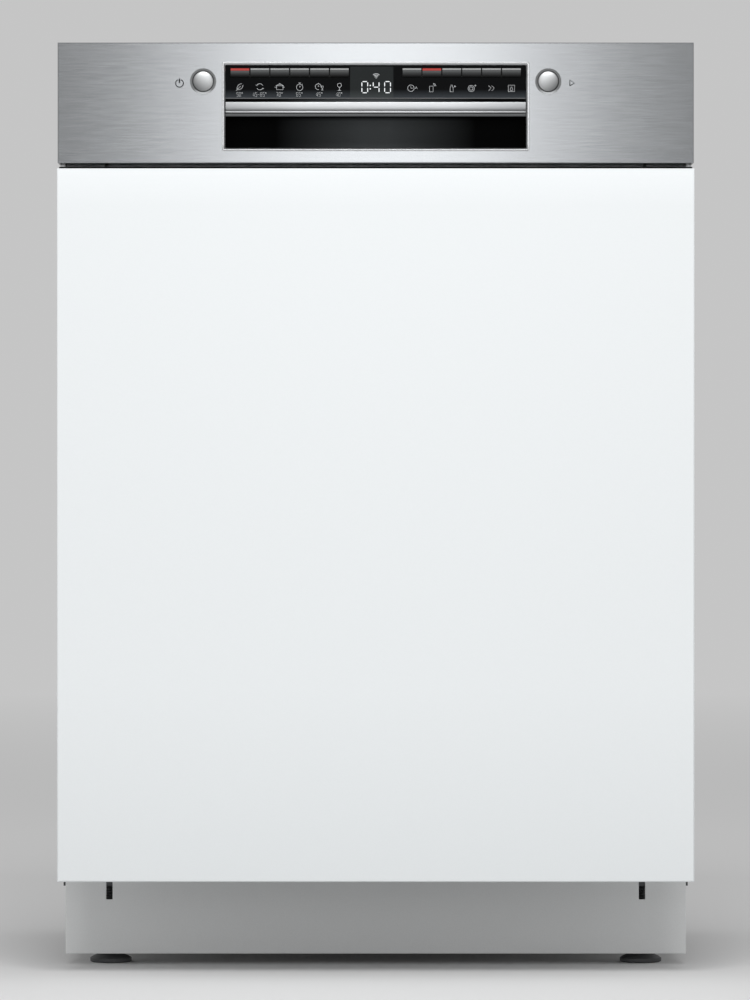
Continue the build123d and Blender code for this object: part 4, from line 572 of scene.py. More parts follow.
# Painted shade at the frame's foot, a painted highlight on its side lands and painted shade on its side
# slopes
shaded(chrome, UP, (frame_low.z + RIM_FOOT, frame_low.z + RIM_RISE), (0.72, 1.0))
shaded(chrome, ACROSS, (frame_high.x - LAND_INNER, frame_high.x - LAND_OUTER), (1.0, 1.45), mirrored=True)
shaded(chrome, ACROSS, SIDEWAYS, (1.0, 0.65), mirrored=True, source="Normal")
# Painted light: the pocket lighter in the middle, a painted shadow under the lip, and the gap above the bar
# lighter again
shaded(pocket_plastic, ACROSS, (POCKET_MIDDLE, POCKET_FADE), (2.0, 0.05), mirrored=True)
shaded(pocket_plastic, UP, (bar_low.z - SHADOW_END, bar_low.z - SHADOW_START), (1.0, 0.15))
shaded(pocket_plastic, UP, (bar_low.z, bar_high.z), (1.0, 7.5))
# Painted shade: the fascia darker towards its ends and on its faces that look down
shaded(fascia_steel, ACROSS, (FASCIA_SHARE * fascia_high.x, fascia_high.x), (1.0, 0.82), mirrored=True)
shaded(fascia_steel, UP, DOWNWARD, (0.08, 1.0), source="Normal")
# Painted shade at the panel's foot and painted light at its head
shaded(white_lacquer, UP, (panel_low.z, panel_low.z + PANEL_FOOT), (0.95, 1.015))
shaded(white_lacquer, UP, (panel_high.z - PANEL_HEAD, panel_high.z), (1.0, 1.06))

# Round buttons: smooth domes over the crowned caps, with painted light that makes them brighter towards the
# middle of the fascia

DOME_RISE = 1.9 * MM
DOME_EDGE = 0.5 * MM
DOME_SHARE = 0.985
DOME_TIP = 0.02 * MM
DOME_STEPS = 12
SATIN = [(0.48, 0.49, 0.495), (0.53, 0.54, 0.545)]
ring_spots = []
for button, inward in (("power_button", 1), ("start_button", -1)):
    low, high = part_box(button)
    centre = ((low.x + high.x) / 2, high.y, (low.z + high.z) / 2)
    ring_spots.append((centre[0], fascia_low.y, centre[2]))
    radius, length = (high.x - low.x) / 2, high.y - low.y
    satin = surface(button + "_satin", SATIN, (0.46, 0.54), 1200, metallic=1.0)
    slant = Vector((0.6 * inward, 0, 0.8))
    middle = slant.dot(centre)
    # Painted highlight: each dome lighter towards the top and the middle of the fascia, darker on its lower
    # outer side
    shaded(satin, slant, (middle - radius, middle + 0.5 * radius), (0.42, 1.22))
    profile = [(radius, 0.0), (radius, length - DOME_RISE - DOME_EDGE)]
    for u, v in arc(0, 0, 1, 0, 90, DOME_STEPS):
        profile.append((DOME_SHARE * radius * u + DOME_TIP, length - DOME_RISE + DOME_RISE * v))
    dome = lathe(button + "_dome", profile, [centre], FORWARD, button, satin, segments=72, sharp=60)
    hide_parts(button)

# Satin rings round the buttons, sloping in to the caps

RING_OUT = 12.2 * MM
RING_IN = 10.05 * MM
RING_PROUD = 0.5 * MM
RING_LAND = 0.4 * MM
RING_BRIGHT = 11.5 * MM
RING_PLAIN = 7.5 * MM
ring_profile = [(RING_OUT, 0.0), (RING_OUT, 0.6 * RING_PROUD), (RING_OUT - 0.5 * RING_LAND, RING_PROUD)]
ring_profile += [(RING_OUT - RING_LAND, RING_PROUD), (RING_IN, 0.2 * RING_PROUD), (RING_IN, 0.0)]
ring_z = ring_spots[0][2]
# Painted reflection: the rings lighter along their lower part
shaded(ring_metal, UP, (ring_z - RING_BRIGHT, ring_z - RING_PLAIN), (3.6, 1.0))
lathe("button_rings", ring_profile, ring_spots, FORWARD, DOOR, ring_metal, "button_metal", 64, hoop=True)

# Frame of the insert: a flat outer land and a slope that leads in to the strip and the pocket


def frame_loop(inset, y, corner):
    """Rounded rectangle inside the frame's outline."""
    ends = rectangle(frame_low.x + inset, frame_low.z + inset, frame_high.x - inset, frame_high.z - inset)
    return rounded([(x, y, z) for x, z in ends], corner, closed=True)


RIM = 3.0 * MM
OUTER_CORNER = 2.0 * MM
INNER_CORNER = 0.5 * MM
# Millimetres of inset, depth behind the face and corner, from the outside in
rim_steps = [(0, 0.15, 2.0), (0.08, 0.03, 1.95), (0.16, 0, 1.9), (1.2, 0, 1.3), (1.4, 0.1, 1.2)]
rim_steps += [(2.8, 1.7, 0.6), (3.0, 2.0, 0.5)]
loops = [frame_loop(inset * MM, frame_low.y + depth * MM, corner * MM) for inset, depth, corner in rim_steps]
loops += [frame_loop(RIM, frame_high.y, INNER_CORNER), frame_loop(0, frame_high.y, OUTER_CORNER)]
bezel = mesh_piece("insert_bezel", [skin(loops, hoop=True)], DOOR, chrome, "bright_trim")
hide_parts("insert_frame")

# Handle bar: an upright bright face that turns under, a fine groove, a bead and a dark lip

FACE_SHARE = 0.52
TURN_SHARE = 0.26
BEAD_SHARE = 0.20
BAR_SKIN = 0.1 * MM
TOP_ROUND = 0.6 * MM
TURN_DEPTH = 0.35 * MM
TURN_STEPS = 8
BAR_SHARP = 40
bar_height = bar_high.z - bar_low.z
face_y = bar_low.y + BAR_SKIN
bar_top, bar_foot = bar_high.z - BAR_SKIN, bar_low.z + BAR_SKIN
turn_z = bar_high.z - FACE_SHARE * bar_height
bead_z = turn_z - TURN_SHARE * bar_height
outline = [(bar_high.y, bar_top), (face_y + TOP_ROUND, bar_top)]
outline += [(face_y + 0.2 * TOP_ROUND, bar_high.z - 0.3 * TOP_ROUND), (face_y, bar_high.z - TOP_ROUND)]
for step in range(TURN_STEPS + 1):
    share = step / TURN_STEPS
    outline.append((face_y + TURN_DEPTH * share ** 2, turn_z - TURN_SHARE * bar_height * share))
for depth, drop in ((2.5, 0.02), (1.0, 0.06), (0.5, 0.09), (0.5, BEAD_SHARE)):
    outline.append((face_y + depth * TURN_DEPTH, bead_z - drop * bar_height))
outline += [(face_y + 3 * TURN_DEPTH, bar_foot), (bar_high.y, bar_foot)]
bar = prism(
    "bright_bar", [outline], bar_low.x, bar_high.x, "x", DOOR, bar_chrome, "bright_trim", BAR_SHARP
)
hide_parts("handle_bar")
LIP_DROP = 3.2 * MM
LIP_BACK = 0.9 * MM
lip_y = bar_low.y + LIP_BACK
lip = [(bar_high.y, bar_foot), (lip_y + 0.4 * MM, bar_foot)]
for depth, drop in ((0.2, 0.45), (0.0, 0.6), (0.3, 0.95), (1.2, 1.0)):
    lip.append((lip_y + depth * MM, bar_low.z - drop * LIP_DROP))
lip.append((bar_high.y, bar_low.z - 0.7 * LIP_DROP))
prism("bar_lip", [lip], bar_low.x, bar_high.x, "x", DOOR, lip_plastic, "housing_black", BAR_SHARP)

# Fine edge along the foot of the strip

EDGE_RISE = 0.9 * MM
edge_z = strip_low.z + EDGE_RISE
edge = [(strip_high.y, strip_low.z), (strip_low.y - 2 * PRINT, strip_low.z)]
edge += [(strip_low.y - 5 * PRINT, strip_low.z + 0.4 * EDGE_RISE), (strip_low.y - PRINT, edge_z)]
edge.append((strip_high.y, edge_z))
prism("strip_edge", [edge], strip_high.x, strip_low.x, "x", DOOR, edge_plastic, "strip_black")

# Display window between the two groups of keys

WINDOW_LEFT = 1.2 * MM
WINDOW_RIGHT = 8.6 * MM
WINDOW_FOOT = 1.2 * MM
WINDOW_HEAD = 1.0 * MM
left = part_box("left_key_6")[1].x + WINDOW_LEFT
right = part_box("right_key_1")[0].x - WINDOW_RIGHT
window = rectangle(left, strip_low.z + WINDOW_FOOT, right, strip_high.z - WINDOW_HEAD)
prism("display_window", [window], strip_low.y, strip_low.y - PRINT, "y", DOOR, display_glass, "strip_black")

# Keys: an upright face that rolls back to the top, under a light guide; two guides are lit

KEYS = 6
KEY_SKIN = 0.05 * MM
KEY_SIDE = 0.12 * MM
KEY_EDGE = 0.3 * MM
ROLL = 4.2 * MM
ROLL_DEPTH = 1.1 * MM
ROLL_STEPS = 6
GUIDE_HEIGHT = 1.3 * MM
LIT_HEIGHT = 2.0 * MM
key_x = {}
for hand, lit in (("left", 1), ("right", 2)):
    for number in range(1, KEYS + 1):
        body = f"{hand}_key_{number}"
        low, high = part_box(body)
        key_x[hand, number] = (low.x + high.x) / 2
        left, right = low.x + KEY_SIDE, high.x - KEY_SIDE
        guide_z = high.z - (LIT_HEIGHT if number == lit else GUIDE_HEIGHT)
        cap = [(high.y, low.z), (low.y + KEY_EDGE, low.z), (low.y + KEY_SKIN, low.z + KEY_EDGE)]
        for step in range(ROLL_STEPS + 1):
            share = step / ROLL_STEPS
            cap.append((low.y + KEY_SKIN + ROLL_DEPTH * share ** 2, guide_z - ROLL * (1 - share)))
        cap.append((high.y, guide_z))
        key = prism(body + "_cap", [cap], right, left, "x", body, key_plastic, "key_grey")
        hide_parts(body)
        light = [(high.y, guide_z), (low.y + 0.8 * ROLL_DEPTH, guide_z)]
        light += [(low.y + 0.7 * ROLL_DEPTH, high.z - KEY_EDGE), (low.y + ROLL_DEPTH, high.z)]
        light.append((high.y, high.z))
        guide = lit_red if number == lit else key_guide
        prism(body + "_light", [light], right, left, "x", body, guide, "key_grey")


# Printed signs on the strip and the fascia: strokes in millimetres about the middle of a sign


def circle(u, v, radius, steps=24):
    """Points of a full circle."""
    return arc(u, v, radius, 0, 360, steps)


def looped(points):
    """A stroke that ends where it starts."""
    return points + points[:1]


def sparkle(u, v):
    """A small four-pointed star."""
    return [[(u - 0.9, v), (u + 0.9, v)], [(u, v - 0.9), (u, v + 0.9)]]


LEAF = [arc(1.6, -1.6, 4.4, 90, 180, 8) + arc(-1.6, 1.6, 4.4, 270, 360, 8), [(-3.6, -3.6), (0.8, 0.8)]]
ROUND_TRIP = [arc(0, 0, 2.9, 25, 155), arc(0, 0, 2.9, 205, 335)]
ROUND_TRIP += [[(-3.9, 1.9), (-2.6, 1.2), (-1.9, 2.6)], [(3.9, -1.9), (2.6, -1.2), (1.9, -2.6)]]
POT = [[(-3, 1), (-3, -2.7), (3, -2.7), (3, 1)], [(-3.8, 1), (3.8, 1)]]
POT += [[(-3, 1), (-1.4, 2.2), (1.4, 2.2), (3, 1)]]
POT += [[(-4.6, -0.4), (-3, -0.4)], [(3, -0.4), (4.6, -0.4)], [(-0.7, 3.1), (0.7, 3.1)]]
STOPWATCH = [circle(0, -0.5, 3), [(0, 2.5), (0, 3.6)], [(-1, 3.6), (1, 3.6)]]
STOPWATCH += [[(0, 1), (0, -0.5), (1.2, 0.3)], [(2.4, 1.9), (3, 2.5)]]
GLASS = [circle(0, 1.4, 1.9, 18), [(0, -0.5), (0, -3.4)], [(-1.5, -3.4), (1.5, -3.4)]]
QUICK_GLASS = [arc(-1.2, 0.1, 2.7, -10, 280, 20), [(-1.2, 2.8), (-1.2, 3.7)]]
QUICK_GLASS += [[(-1.2, 1.4), (-1.2, 0.1), (-0.2, 0.8)]]
QUICK_GLASS += [looped([(1.6, 0.6), (1.9, -1.2), (3.3, -1.2), (3.6, 0.6)])]
QUICK_GLASS += [[(2.6, -1.2), (2.6, -3)], [(1.7, -3), (3.5, -3)]]
LATER = [circle(-1, 0, 3), [(-1, 1.7), (-1, 0), (0.6, 0)], [(3, -0.6), (4, 1.5), (4.9, -0.6)]]
PHONE = [looped(rectangle(-2.2, -3.4, 1.2, 1.9)), arc(1.2, 1.9, 1.4, 0, 90, 6), arc(1.2, 1.9, 2.5, 0, 90, 8)]
FLASK = [(-1.5, -3.4), (1.3, -3.4), (1.3, 0.6), (0.5, 1.5), (0.5, 3), (-0.7, 3), (-0.7, 1.5), (-1.5, 0.6)]
BOTTLE = [looped(FLASK)] + sparkle(3, 1.7)
DISH = [circle(-0.4, -0.3, 2.9), circle(-0.4, -0.3, 1.6, 16)] + sparkle(3.4, 2.4)
FAST = [[(-2.8, -2.4), (-0.4, 0), (-2.8, 2.4)], [(0.2, -2.4), (2.6, 0), (0.2, 2.4)]]
DROP = arc(0, -1.1, 1.2, 150, 390, 12) + [(0, 1.5), (-1.04, -0.5)]
TUB_CARE = [looped(rectangle(-2.9, -3.2, 2.9, 2.8)), DROP]
WIRELESS = [arc(0, -2.36, radius, 52, 128, 8) for radius in (0.9, 2.1, 3.4, 4.7)]
POWER = [arc(0, 0, 3.6, 115, 425, 30), [(-0.2, 0.3), (-0.2, 4.3)], [(0.2, 0.3), (0.2, 4.3)]]
START = [looped([(-1.8, -2.6), (2.6, 0), (-1.8, 2.6)])]


def lines(signs, face, scale=1.0):
    """Routes of the signs on an upright face: each sign is (strokes, x, z)."""
    routes = []
    for strokes, x, z in signs:
        for stroke in strokes:
            routes.append([(x + u * scale * MM, face, z + v * scale * MM) for u, v in stroke])
    return routes


ICON_DROP = {"left": 41.2 * MM, "right": 42.5 * MM}
ICON_LINE = 0.17 * MM
WIRELESS_X, WIRELESS_DROP = 0.48 * MM, 31.4 * MM
WIRELESS_LINE = 0.27 * MM
POWER_X, POWER_DROP = -183.35 * MM, 38.1 * MM
START_X, START_DROP = 183.2 * MM, 37.9 * MM
FASCIA_LINE = 0.52 * MM
icon_rows = {"left": [LEAF, ROUND_TRIP, POT, STOPWATCH, QUICK_GLASS, GLASS]}
icon_rows["right"] = [LATER, PHONE, BOTTLE, DISH, FAST, TUB_CARE]
icons = []
for hand, row in icon_rows.items():
    icons += [(sign, key_x[hand, k], fascia_top - ICON_DROP[hand]) for k, sign in enumerate(row, 1)]
wires("programme_signs", lines(icons, strip_low.y), ICON_LINE, DOOR, *STRIP_SIGN, sides=1)
wireless = lines([(WIRELESS, WIRELESS_X, fascia_top - WIRELESS_DROP)], strip_low.y - PRINT)
wires("wireless_sign", wireless, WIRELESS_LINE, DOOR, *STRIP_SIGN, sides=1)
fascia_signs = [(POWER, POWER_X, fascia_top - POWER_DROP), (START, START_X, fascia_top - START_DROP)]
fascia_lines = lines(fascia_signs, fascia_low.y)
wires("fascia_signs", fascia_lines, FASCIA_LINE, DOOR, sign_dark, "fascia_steel", sides=1)

# Programme temperatures in thin strokes, each figure three units high

DEGREE = "°"
FIGURES = {
    "0": [looped(rectangle(-0.6, -1.5, 0.6, 1.5))],
    "4": [[(0.3, -1.5), (0.3, 1.5), (-0.7, -0.6), (0.7, -0.6)]],
    "5": [[(0.6, 1.5), (-0.6, 1.5), (-0.6, 0.2), (0.6, 0.2), (0.6, -1.5), (-0.6, -1.5)]],
    "6": [[(0.6, 1.5), (-0.6, 1.5), (-0.6, -1.5), (0.6, -1.5), (0.6, 0.2), (-0.6, 0.2)]],
    "7": [[(-0.6, 1.5), (0.6, 1.5), (-0.2, -1.5)]],
    "-": [[(-0.4, 0.0), (0.4, 0.0)]],
    DEGREE: [circle(-0.2, 1.1, 0.4, 8)],
}
FIGURE_DROP = 48.3 * MM
FIGURE_PITCH = 1.9 * MM
FIGURE_LINE = 0.12 * MM
FIGURE_SCALE = 1.22
temperatures = []
for number, label in enumerate(("50", "45-65", "70", "65", "45", "40"), 1):
    figures = label + DEGREE
    for spot, figure in enumerate(figures):
        shift = (spot - (len(figures) - 1) / 2) * FIGURE_PITCH * FIGURE_SCALE
        temperatures.append((FIGURES[figure], key_x["left", number] + shift, fascia_top - FIGURE_DROP))
figure_lines = lines(temperatures, strip_low.y, FIGURE_SCALE)
wires("temperature_signs", figure_lines, FIGURE_LINE, DOOR, *STRIP_SIGN, sides=1)

# Seven-bar digits of the display

DIGIT_HEIGHT = 11.25 * MM
DIGIT_WIDTH = 6.24 * MM
STROKE = 0.8 * MM
SPLIT = 0.6 * MM
DIGIT_DROP = 41.55 * MM
COLON_X = -5.05 * MM
COLON_RISE = 1.6 * MM
DOT = 0.55 * MM
BARS = {"0": "abcdef", "4": "bcfg"}


def bar_outline(kind, x, z):
    """Six-sided outline of one bar of a digit."""
    half, tall, t = DIGIT_WIDTH / 2, DIGIT_HEIGHT / 2, STROKE / 2
    if kind in "adg":
        v = z + {"a": tall - t, "g": 0.0, "d": t - tall}[kind]
        left, right = x - half + t + SPLIT, x + half - t - SPLIT
        lower = [(left, v), (left + t, v - t), (right - t, v - t)]
        return lower + [(right, v), (right - t, v + t), (left + t, v + t)]
    u = x + (half - t if kind in "bc" else t - half)
    low = z + SPLIT if kind in "bf" else z - tall + t + SPLIT
    high = z + tall - t - SPLIT if kind in "bf" else z - SPLIT
    return [(u, low), (u + t, low + t), (u + t, high - t), (u, high), (u - t, high - t), (u - t, low + t)]


digit_z = fascia_top - DIGIT_DROP
outlines = []
for digit, x in (("0", -10.2 * MM), ("4", 0.4 * MM), ("0", 11.1 * MM)):
    outlines += [bar_outline(kind, x, digit_z) for kind in BARS[digit]]
for z in (digit_z - COLON_RISE, digit_z + COLON_RISE):
    outlines.append(rectangle(COLON_X - DOT, z - DOT, COLON_X + DOT, z + DOT))
digit_rear, digit_face = strip_low.y - PRINT, strip_low.y - 2 * PRINT
prism("display_digits", outlines, digit_rear, digit_face, "y", DOOR, digit_white, "strip_black")

# Racks of round coated wire, bent where the straight wires of the solids meet

WIRE = 4.4 * MM
WIRES_ALONG = 11
WIRES_ACROSS = 9
BEND = 9 * MM
RIM_BEND = 16 * MM
PLATE = 3 * MM
PLATE_CORNER = 4 * MM
TIP_TURNS = (0, 0.5, 1.0, 1.4)
half_wire = WIRE / 2
lower_low, lower_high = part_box("lower_rack")
upper_low, upper_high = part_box("upper_rack")
rack_front = lower_low.y
rack_rear = lower_high.y


def rack_routes(half, floor_z, front_top, side_top, rail_z):
    """Bent wires of a rack, the closed rings among them, and the x of the wires that run in depth."""
    inner = half - 2 * WIRE
    depth = rack_rear - rack_front - 5 * WIRE
    columns = [(-1 + 2 * (i + 0.5) / WIRES_ALONG) * (inner - half_wire) for i in range(WIRES_ALONG)]
    rows = [rack_front + 2.5 * WIRE + depth * (i + 0.5) / WIRES_ACROSS for i in range(WIRES_ACROSS)]
    routes = []
    x = half - 1.5 * WIRE
    low, high, top = floor_z + half_wire, side_top - half_wire, front_top - half_wire
    for y in rows:
        routes.append(rounded([(-x, y, high), (-x, y, low), (x, y, low), (x, y, high)], BEND))
    low = floor_z + 1.5 * WIRE
    front, rear = rack_front + 1.5 * WIRE, rack_rear - 1.5 * WIRE
    for x in columns:
        routes.append(rounded([(x, front, top), (x, front, low), (x, rear, low), (x, rear, high)], BEND))
    x, front, rear = half - half_wire, rack_front + half_wire, rack_rear - half_wire
    ends = rectangle(-x, front, x, rear)
    routes.append(rounded([(*end, rail_z) for end in ends], RIM_BEND, closed=True))
    if side_top - front_top < WIRE:
        rim = [(*end, high) for end in ends]
    else:
        step = front + side_top - front_top
        rim = [(-x, front, top), (x, front, top), (x, step, high)]
        rim += [(x, rear, high), (-x, rear, high), (-x, step, high)]
    routes.append(rounded(rim, RIM_BEND, closed=True))
    return routes, [len(routes) - 2, len(routes) - 1], columns


def tines(columns, rows, floor_z, height):
    """Upright tines on the floor wires, up to where their round heads begin."""
    foot, top = floor_z + 1.5 * WIRE, floor_z + 2 * WIRE + height - half_wire
    places = [(x, rack_front + row * (rack_rear - rack_front)) for x in columns for row in rows]
    return [[(x, y, foot), (x, y, top)] for x, y in places]


def tips(name, prongs, body):
    """Round heads on the upper ends of the tines."""
    dome = [(half_wire * cos(t), half_wire * sin(t)) for t in TIP_TURNS]
    lathe(name, dome, [prong[-1] for prong in prongs], UP, body, *COATED, 10)


def plate_outline(y, half, low, high):
    """Rounded outline of a carrier plate in the plane of y and z."""
    ends = [(0, *pair) for pair in rectangle(y - half, low, y + half, high)]
    return [(p.y, p.z) for p in rounded(ends, PLATE_CORNER, closed=True)]


def carriers(rack, kind, profile, segments, hub, spots, plate_x, plates):
    """Wheels on both sides of a rack, each on a carrier plate; a hub is (x, z)."""
    for side, hand in ((-1, "left"), (1, "right")):
        hubs = [(side * hub[0], y, hub[1]) for y in spots]
        lathe(f"{rack}_{kind}_{hand}", profile, hubs, (side, 0, 0), rack, *DARK_INNER, segments)
        near, far = sorted((side * plate_x, side * (plate_x + PLATE)))
        prism(f"{rack}_plates_{hand}", plates, near, far, "x", rack, *DARK_INNER)


# Lower rack: a low front, tines on both sides and four wheels a side

WHEEL = 17 * MM
WHEEL_WIDTH = 8 * MM
WHEEL_EDGE = 0.2 * MM
WHEELS = 4
TYRE = 1.4 * MM
FRONT_WALL = 78 * MM
LOWER_RAIL = 22 * MM
LOWER_TINE = 88 * MM
LEFT_ROWS = (0.40, 0.62, 0.84)
RIGHT_ROWS = (0.20, 0.72, 0.87)
LOWER_PLATE = 8 * MM
lower_z = 264 * MM
lower_half = lower_high.x - PLATE - WHEEL_WIDTH
rail_z = lower_z + LOWER_RAIL
routes, rings, columns = rack_routes(lower_half, lower_z, lower_z + FRONT_WALL, lower_high.z, rail_z)
prongs = tines(columns[:5], LEFT_ROWS, lower_z, LOWER_TINE)
prongs += tines(columns[-5:], RIGHT_ROWS, lower_z, LOWER_TINE)
lower_wires = wires("lower_rack_wires", routes + prongs, half_wire, "lower_rack", *COATED, rings)
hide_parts("lower_rack")
tips("lower_rack_tips", prongs, "lower_rack")
wheel_z = lower_low.z + WHEEL
wheel_run = rack_rear - rack_front - 4 * WHEEL
wheel_y = [rack_front + 2 * WHEEL + wheel_run * i / (WHEELS - 1) for i in range(WHEELS)]
wheel = [(0.16, 0.0), (0.72, 0.0), (0.78, TYRE), (0.90, TYRE), (0.94, WHEEL_EDGE), (1.0, TYRE)]
wheel += [(1.0, WHEEL_WIDTH - TYRE), (0.94, WHEEL_WIDTH - WHEEL_EDGE), (0.86, WHEEL_WIDTH - TYRE)]
wheel += [(0.45, WHEEL_WIDTH - 2 * TYRE), (0.40, WHEEL_WIDTH), (0.06, WHEEL_WIDTH)]
hub = (lower_half + PLATE, wheel_z)
plates = [plate_outline(y, LOWER_PLATE, wheel_z - LOWER_PLATE, rail_z + half_wire) for y in wheel_y]
carriers("lower_rack", "wheels", profile_of(WHEEL, wheel), 36, hub, wheel_y, lower_half, plates)

# Upper rack: an even rim, rollers in the rails and the feed of the upper spray arm

ROLLER = 9.2 * MM
ROLLER_WIDTH = 6 * MM
ROLLER_EDGE = 0.6 * MM
ROLLER_DISH = 0.8 * MM
UPPER_RAIL = 56 * MM
UPPER_TINE = 62 * MM
UPPER_ROWS = (0.20, 0.50, 0.80)
UPPER_PLATE = (16 * MM, 8 * MM)
upper_half = 254 * MM
upper_z = 544 * MM
rail_z = upper_z + UPPER_RAIL
routes, rings, columns = rack_routes(upper_half, upper_z, upper_high.z, upper_high.z, rail_z)
prongs = tines(columns[1:-1], UPPER_ROWS, upper_z, UPPER_TINE)
upper_wires = wires("upper_rack_wires", routes + prongs, half_wire, "upper_rack", *COATED, rings)
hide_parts("upper_rack")
tips("upper_rack_tips", prongs, "upper_rack")
roller_y = [rack_front + 4 * WHEEL, rack_rear - 4 * WHEEL]
roller_x = upper_high.x - ROLLER_WIDTH
roller = [(0.3, upper_half - roller_x), (0.3, 0.0), (0.9, 0.0), (1.0, ROLLER_EDGE)]
roller += [(1.0, ROLLER_WIDTH - ROLLER_EDGE), (0.9, ROLLER_WIDTH)]
roller += [(0.5, ROLLER_WIDTH - ROLLER_DISH), (0.1, ROLLER_WIDTH - ROLLER_DISH)]
hub = (roller_x, rail_z)
long, tall = UPPER_PLATE
plates = [plate_outline(y, long, rail_z - tall, rail_z + tall) for y in roller_y]
carriers("upper_rack", "rollers", profile_of(ROLLER, roller), 32, hub, roller_y, upper_half, plates)
HUB_Y = 14 * MM
POST = 14 * MM
PIN = 9 * MM
TUBE = 8.4 * MM
port_z = 535 * MM
post_z = port_z - PIN
run = upper_high.y - HUB_Y
tube = [(1.0, 0.0), (1.0, run - 12 * MM), (1.12, run - 9 * MM), (1.12, run - 4 * MM), (0.9, run), (0.7, run)]
lathe(
    "upper_feed_tube", profile_of(TUBE, tube), [(0, HUB_Y, port_z)], REARWARD, "upper_rack", *GREY_INNER, 32
)
pin_z = upper_low.z - post_z
post = profile_of(PIN, [(0.8, pin_z), (1.0, pin_z + 0.8 * MM), (1.0, -0.2 * MM)])
post += profile_of(POST, [(1.0, 0.0), (1.0, 14 * MM), (0.85, 17.5 * MM), (0.4, 18 * MM)])
lathe("upper_feed_post", post, [(0, HUB_Y, post_z)], UP, "upper_rack", *GREY_INNER, 36)
nut = hexagon(0, HUB_Y, POST)
prism("upper_feed_nut", [nut], upper_low.z, upper_low.z + PLATE, "z", "upper_rack", *DARK_INNER)

# Folding row of tines: five prongs on a turning bar

FOLD_BAR = 3 * MM
FOLD_EDGE = 1 * MM
FOLD_TINES = 5
fold_low, fold_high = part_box("folding_tines")
fold_z = fold_low.z + FOLD_BAR
fold_y = (fold_low.y + fold_high.y) / 2
fold_length = fold_high.x - fold_low.x
fold_x = [fold_low.x + fold_length / FOLD_TINES * (k + 0.5) for k in range(FOLD_TINES)]
prongs = [[(x, fold_y, fold_z), (x, fold_y, fold_high.z - half_wire)] for x in fold_x]
fold_wires = wires("folding_prongs", prongs, half_wire, "folding_tines", *COATED)
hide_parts("folding_tines")
tips("folding_tips", prongs, "folding_tines")
rod = [(0.7, 0.0), (1.0, FOLD_EDGE), (1.0, fold_length - FOLD_EDGE), (0.7, fold_length)]
rod_start = (fold_low.x, fold_y, fold_z)
lathe("folding_bar", profile_of(FOLD_BAR, rod), [rod_start], ACROSS, "folding_tines", *GREY_INNER, 24)

# Spray arms: crowned arms with a hub and raised nozzles on the upper side

ARM_TIP = 14 * MM
ARM_END = 0.4 * MM
ARM_SECTIONS = 48
ARM_SIDES = 28
ARM_FALL = 0.25
HUB_SHARE = 0.6
WAIST_SHARE = 0.8
HUB_EDGE = 0.3 * MM
HUB_DISH = 0.6 * MM
JETS = 4
JET_ASIDE = 3 * MM
JET_SINK = 1.2 * MM


def arm_half(x, reach, hub):
    """Half the width of an arm at a distance x: a round hub, a taper and a round tip."""
    taper, tip = HUB_SHARE * hub, reach - ARM_TIP
    if x < taper:
        return sqrt(hub ** 2 - x ** 2)
    if x > tip:
        return max(ARM_TIP * sqrt(max(1 - ((x - tip) / ARM_TIP) ** 2, 0.0)), ARM_END)
    waist = WAIST_SHARE * hub
    return waist + (ARM_TIP - waist) * (x - taper) / (tip - taper)


def bulged(value, power):
    """A sine or cosine drawn towards one, for a section between an ellipse and a box."""
    return copysign(abs(value) ** power, value)


def spray_arm(name):
    """Tapered arm across x with bulged sections, its hub and its nozzles."""
    low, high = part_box(name)
    reach, hub = high.x, (high.y - low.y) / 2
    mid_z, thick = (low.z + high.z) / 2, high.z - low.z
    turns = [2 * pi * k / ARM_SIDES for k in range(ARM_SIDES)]
    rings = []
    for i in range(ARM_SECTIONS + 1):
        x = -reach * cos(pi * i / ARM_SECTIONS)
        half = arm_half(abs(x), reach, hub)
        tall = thick / 2 * (1 - ARM_FALL * (x / reach) ** 2) * min(1.0, 0.35 + half / ARM_TIP)
        section = [(half * bulged(cos(t), 0.6), tall * bulged(sin(t), 0.7)) for t in turns]
        rings.append([(x, HUB_Y + y, mid_z + z) for y, z in section])
    arm = mesh_piece(name + "_shell", [skin(rings)], name, *GREY_INNER, 60)
    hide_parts(name)
    ring = [(0.62, -2.0 * MM), (0.62, 0.0), (0.58, HUB_EDGE), (0.40, HUB_EDGE)]
    ring += [(0.36, -HUB_DISH), (0.30, -HUB_DISH)]
    spot = (0, HUB_Y, high.z - HUB_EDGE)
    lathe(name + "_hub", profile_of(hub, ring), [spot], UP, name, *DARK_INNER, 40)
    spots = []
    for k in range(JETS):
        x = hub + (reach - hub - ARM_TIP) * (k + 0.7) / JETS
        y = JET_ASIDE * (-1) ** k
        z = mid_z + thick / 2 * (1 - ARM_FALL * (x / reach) ** 2) - JET_SINK
        spots += [(-x, HUB_Y - y, z), (x, HUB_Y + y, z)]
    jet = profile_of(MM, [(4.2, 0.0), (3.6, 1.3 * MM), (2.6, 1.6 * MM), (1.7, 1.2 * MM), (1.2, 0.6 * MM)])
    lathe(name + "_jets", jet, spots, UP, name, *DARK_INNER, 16)


for arm_name in ("lower_spray_arm", "upper_spray_arm"):
    spray_arm(arm_name)

# Salt cap: a scalloped screw cap with a raised grip

